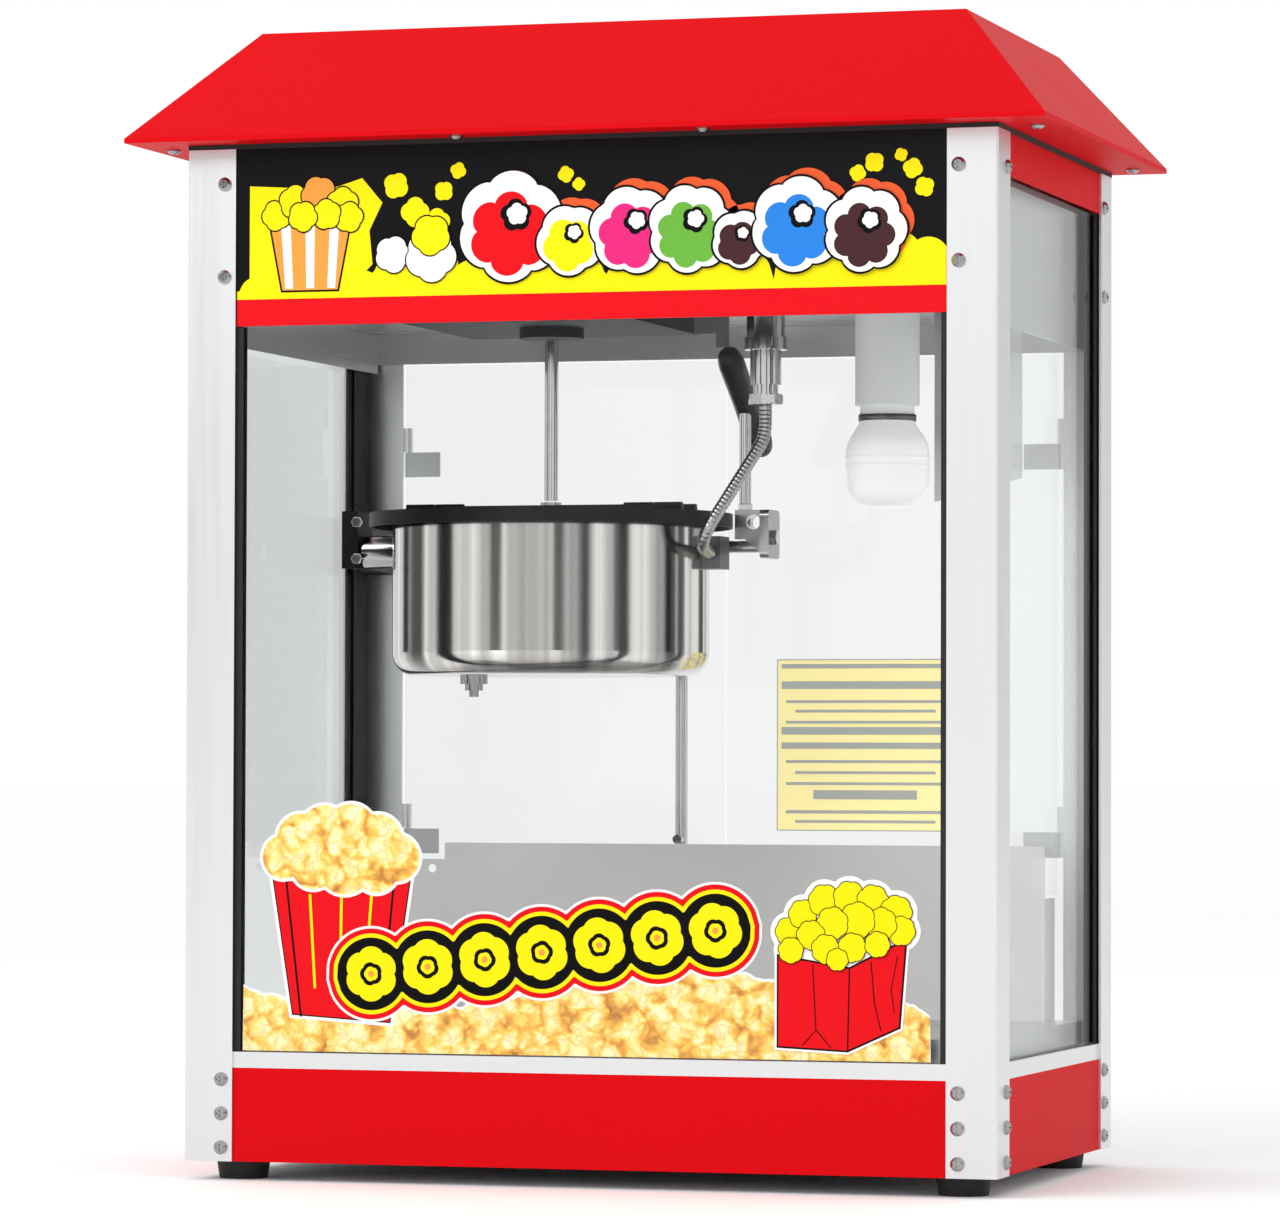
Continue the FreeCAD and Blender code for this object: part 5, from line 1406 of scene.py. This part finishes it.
@dataclass
class GlassArt:
    """Printed film on the front glass: a heap of popped corn, a tub, a box and a banner."""

    floor_line: float = 66.3
    white_edge: float = 1.6

    def make(self) -> list[bpy.types.Object]:
        """Print the glass.

        Returns:
            The film's pieces.
        """
        art = Artwork("glass_print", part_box("front_glass")[0].y)
        self._heap(art)
        self._tub(art)
        self._banner(art)
        self._box(art)
        return art.make()

    def _heap(self, art: Artwork) -> None:
        """The long heap along the sill.

        Args:
            art: The artwork to print on.
        """
        tops = [(-214, 104), (-200, 98), (-178, 96), (-140, 95), (-102, 92), (-60, 95), (-15, 106), (30, 114), (71, 119),
                (100, 115), (119, 108), (150, 100), (179, 101), (200, 98), (209, 90)]
        left, right = tops[0][0], tops[-1][0]
        edge, steps = [], 360
        noise = random.Random(11)
        beads = [(left + (right - left) * k / 46, noise.uniform(3.0, 6.5)) for k in range(47)]
        for step in range(steps + 1):
            x = left + (right - left) * step / steps
            base = self._height(tops, x)
            lift = max(math.sqrt(max(0.0, (r * 1.5) ** 2 - (x - cx) ** 2)) for cx, r in beads)
            edge.append((x, base + lift * 0.62 - 4))
        body = [(left, self.floor_line), (right, self.floor_line)] + edge[::-1]
        rim = [(left - 0.5, self.floor_line), (right + 0.5, self.floor_line)]
        rim += [(x, z + self.white_edge) for x, z in edge[::-1]]
        art.lay(Paint.WHITE_FILM, rim)
        art.lay(Paint.POPCORN, body)

    @staticmethod
    def _height(points: Sequence[Point2], x: float) -> float:
        """The height of a line of points at a place across.

        Args:
            points: The line's points, from left to right.
            x: The place across.

        Returns:
            The height.
        """
        for (x0, z0), (x1, z1) in zip(points, points[1:]):
            if x0 <= x <= x1:
                share = (x - x0) / (x1 - x0)
                return z0 + (z1 - z0) * share
        return points[-1][1]

    def _tub(self, art: Artwork) -> None:
        """The red tub with its heaped corn at the left.

        Args:
            art: The artwork to print on.
        """
        tub = [(-197, 177), (-108, 172), (-121, 84), (-183, 88)]
        crown = [(-189, 182, 13), (-178, 193, 15), (-163, 197, 16), (-146, 198, 16), (-129, 193, 15), (-117, 182, 14),
                 (-150, 178, 18), (-170, 177, 14), (-130, 175, 14)]
        art.lay(Paint.WHITE_FILM, grown(tub, 2.0))
        art.lay(Paint.INK, grown(tub, 0.1))
        art.lay(Paint.RED_FILM, grown(tub, -0.7))
        pleats = [thick_line([(x, 176), (x * 0.72 - 42, 87)], 1.3) for x in (-188, -118)]
        art.lay(Paint.INK, *pleats)
        stripes = [thick_line([(x, 160), (x * 0.8 - 31, 104)], 1.6) for x in (-172, -152, -133)]
        art.lay(Paint.YELLOW_FILM, *stripes, same_layer=True)
        art.lay(Paint.WHITE_FILM, cluster(crown, 1.8))
        art.lay(Paint.POPCORN, cluster(crown))

    def _banner(self, art: Artwork) -> None:
        """The slanted banner with a row of round kernels instead of letters.

        Args:
            art: The artwork to print on.
        """
        start, end = (-133, 113), (80, 141)
        lobes = 7
        for finish, grow in ((Paint.WHITE_FILM, 28.5), (Paint.RED_FILM, 27.0), (Paint.YELLOW_FILM, 24.0),
                             (Paint.INK, 21.6)):
            art.lay(finish, wavy_band(start, end, 0.0, lobes, grow))
        spots = [Vector(start).lerp(Vector(end), k / (lobes - 1)) for k in range(lobes)]
        art.lay(Paint.YELLOW_FILM, *(puff(p.x, p.y, 16.4, 6, 0.12, k) for k, p in enumerate(spots)))
        art.lay(Paint.INK, *(puff(p.x, p.y, 7.0, 5, 0.12, k) for k, p in enumerate(spots)))
        art.lay(Paint.YELLOW_FILM, *(puff(p.x, p.y, 4.4, 5, 0.12, k) for k, p in enumerate(spots)))
        art.lay(Paint.ORANGE_FILM, *(puff(p.x, p.y, 2.0, 5, 0.12, k) for k, p in enumerate(spots)))

    def _box(self, art: Artwork) -> None:
        """The red box with yellow corn at the right.

        Args:
            art: The artwork to print on.
        """
        front = [(118, 127), (161, 120), (160, 72), (118, 74)]
        side = [(161, 120), (195, 137), (191, 86), (160, 72)]
        whole = [(118, 127), (161, 120), (195, 137), (191, 86), (160, 72), (118, 74)]
        puffs = [(125, 141, 9), (133, 151, 9), (146, 159, 10), (161, 161, 10), (175, 159, 10), (189, 153, 10), (192, 142, 9),
                 (180, 146, 10), (166, 148, 11), (151, 146, 10), (138, 139, 9), (126, 130, 8), (147, 131, 9),
                 (163, 132, 9), (178, 134, 8), (154, 125, 7)]
        art.lay(Paint.WHITE_FILM, cluster([(x, z, r) for x, z, r in puffs], 2.6))
        art.lay(Paint.WHITE_FILM, grown(whole, 2.0))
        art.lay(Paint.INK, grown(whole, 0.7))
        art.lay(Paint.RED_FILM, grown(front, -0.4))
        art.lay(Paint.RED_FILM, grown(side, -0.5), same_layer=True)
        creases = (([(139, 122), (141, 84), (133, 75)], 0.7), ([(141, 84), (150, 74)], 0.7),
                   ([(174, 124), (176, 100), (180, 84)], 0.7), ([(190, 128), (186, 108), (188, 94)], 0.6))
        folds = [thick_line(points, width) for points, width in creases]
        art.lay(Paint.INK, *folds)
        for index, (x, z, radius) in enumerate(puffs):
            art.lay(Paint.INK, puff(x, z, radius, 7, 0.1, index))
            art.lay(Paint.YELLOW_FILM, puff(x, z, radius - 0.55, 7, 0.1, index))


@dataclass
class DoorLabel:
    """A plain yellow plate with grey bars on the right rear door, whose film glows with painted light. No lettering."""

    left: float = 34.0
    right: float = 150.0
    low: float = 196.0
    high: float = 305.0
    bars: tuple[tuple[float, float, float], ...] = (
        (37, 299, 3.0), (37, 286, 5.0), (40, 277, 2.0), (46, 271, 2.0), (40, 264, 2.0), (37, 257, 5.0), (37, 248, 4.2),
        (40, 239, 2.0), (46, 232, 2.0), (40, 225, 2.0), (58, 216, 6.0), (40, 207, 2.2), (46, 201, 2.0))

    def make(self) -> list[bpy.types.Object]:
        """Print the label on the door's inner face.

        Returns:
            The label's pieces.
        """
        art = Artwork("door_label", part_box("door_right")[0].y, body=Body.RIGHT_DOOR)
        art.lay(Paint.LABEL_BAR_PAINTED_GLOW, self._block(self.left, self.right, self.low, self.high))
        art.lay(Paint.LABEL_FILM_PAINTED_GLOW, self._block(self.left + 0.8, self.right - 0.8, self.low + 0.8, self.high - 0.8))
        art.lay(Paint.LABEL_BAR_PAINTED_GLOW, *(self._block(x, 184 - x, z, z + tall) for x, z, tall in self.bars))
        return art.make()

    @staticmethod
    def _block(left: float, right: float, low: float, high: float) -> list[Point2]:
        """A box's four corners."""
        return [(left, low), (right, low), (right, high), (left, high)]


# ------------------------------------------------------------------------ studio


@dataclass
class Studio:
    """White floor, soft light, dark reflection boards and the camera."""

    floor_radius: float = 60.0
    board_reach: float = 9.0
    board_heights: tuple[float, float] = (-0.001, 4.5)
    boards: tuple[tuple[float, float], ...] = ((22.5, 7.0), (68.0, 9.0), (112.0, 6.0), (158.0, 8.0), (247.0, 9.0),
                                               (293.0, 8.0), (337.0, 9.0))
    key_size: tuple[float, float] = (2.4, 1.6)
    key_power: float = 45.0
    key_place: tuple[float, float, float] = (-1.6, -2.6, 2.3)
    lens: float = 164.1
    eye: tuple[float, float, float] = (1.0274, -3.4225, 0.2501)
    yaw: float = 0.2944
    pitch: float = -0.0255
    roll: float = 0.0027

    def make(self) -> None:
        """Set up the whole studio."""
        self._floor()
        self._boards()
        self._light()
        self._camera()

    def _floor(self) -> None:
        """A wide pale disc under the feet."""
        shape = bmesh.new()
        bmesh.ops.create_circle(shape, cap_ends=True, segments=96, radius=self.floor_radius)
        pale = Moulded("floor_white", (0.985, 0.985, 0.985), 0.8, 0.0, 0.0, 0.0)
        floor = mesh_piece("studio_floor", shape, pale, smooth=False)
        floor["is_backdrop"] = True

    def _boards(self) -> None:
        """Dark upright boards far off, hidden from the camera, which bright metal mirrors as bands."""
        finish = Moulded("board_grey", (0.02, 0.02, 0.02), 0.9, 0.0)
        for index, (azimuth, spread) in enumerate(self.boards):
            shape = bmesh.new()
            for angle in (azimuth - spread / 2, azimuth + spread / 2):
                turn = math.radians(angle)
                for height in self.board_heights:
                    shape.verts.new((math.sin(turn) * self.board_reach,
                                     -math.cos(turn) * self.board_reach, height))
            shape.verts.ensure_lookup_table()
            shape.faces.new([shape.verts[k] for k in (0, 1, 3, 2)])
            board = mesh_piece(f"reflection_board_{index}", shape, finish, smooth=False)
            board.visible_camera = False
            board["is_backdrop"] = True

    def _light(self) -> None:
        """An even white sky and one broad soft light over the camera's left."""
        world = bpy.data.worlds.new("studio_sky")
        world.use_nodes = True
        world.node_tree.nodes["Background"].inputs[0].default_value = (1.0, 1.0, 1.0, 1.0)
        world.node_tree.nodes["Background"].inputs[1].default_value = 1.0
        bpy.context.scene.world = world
        data = bpy.data.lights.new("key_light", "AREA")
        data.shape = "RECTANGLE"
        data.size, data.size_y = self.key_size
        data.energy = self.key_power
        key = bpy.data.objects.new("key_light", data)
        key.location = self.key_place
        key.rotation_euler = (Vector((0, 0, 0.35)) - key.location).to_track_quat("-Z", "Y").to_euler()
        bpy.context.scene.collection.objects.link(key)
        bpy.context.scene.view_settings.view_transform = "Standard"

    def _camera(self) -> None:
        """The camera, from its yaw, pitch and roll."""
        ahead = Vector((-math.sin(self.yaw), math.cos(self.yaw), 0))
        right = Vector((math.cos(self.yaw), math.sin(self.yaw), 0))
        up = Vector((0, 0, 1))
        look = ahead * math.cos(self.pitch) - up * math.sin(self.pitch)
        top = up * math.cos(self.pitch) + ahead * math.sin(self.pitch)
        across = right * math.cos(self.roll) + top * math.sin(self.roll)
        rise = top * math.cos(self.roll) - right * math.sin(self.roll)
        data = bpy.data.cameras.new("camera")
        data.lens = self.lens
        data.sensor_width = 36.0
        data.clip_start, data.clip_end = 0.05, 200.0
        camera = bpy.data.objects.new("camera", data)
        camera.matrix_world = Matrix((across, rise, -look)).transposed().to_4x4()
        camera.location = self.eye
        bpy.context.scene.collection.objects.link(camera)
        bpy.context.scene.camera = camera


# -------------------------------------------------------------------------- main


def corners() -> list[list[float]]:
    """The shown object's lowest and highest corner as plain lists."""
    return [list(corner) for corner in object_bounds()]


def report(pieces: Any) -> None:
    """Log each new piece by name."""
    for piece in pieces if isinstance(pieces, list) else [pieces]:
        LOG.info("made %s", piece.name)


def main(before: list[list[float]]) -> None:
    """Dress the frame, build the added pieces and set the studio.

    Args:
        before: The frame's corners before anything is added; not used.
    """
    makers: list[Callable[[], Any]] = [
        SupplyLead().make, Handle().make, Lamp().make, HangerBolts().make, SwitchBezels().make,
        SignArt().make, GlassArt().make, DoorLabel().make]
    FrameDress().dress()
    for make in makers:
        report(make())
    Studio().make()
    bpy.context.view_layer.update()


if __name__ == "__main__":
    logging.basicConfig(level=logging.INFO, format="%(message)s")
    main(corners())
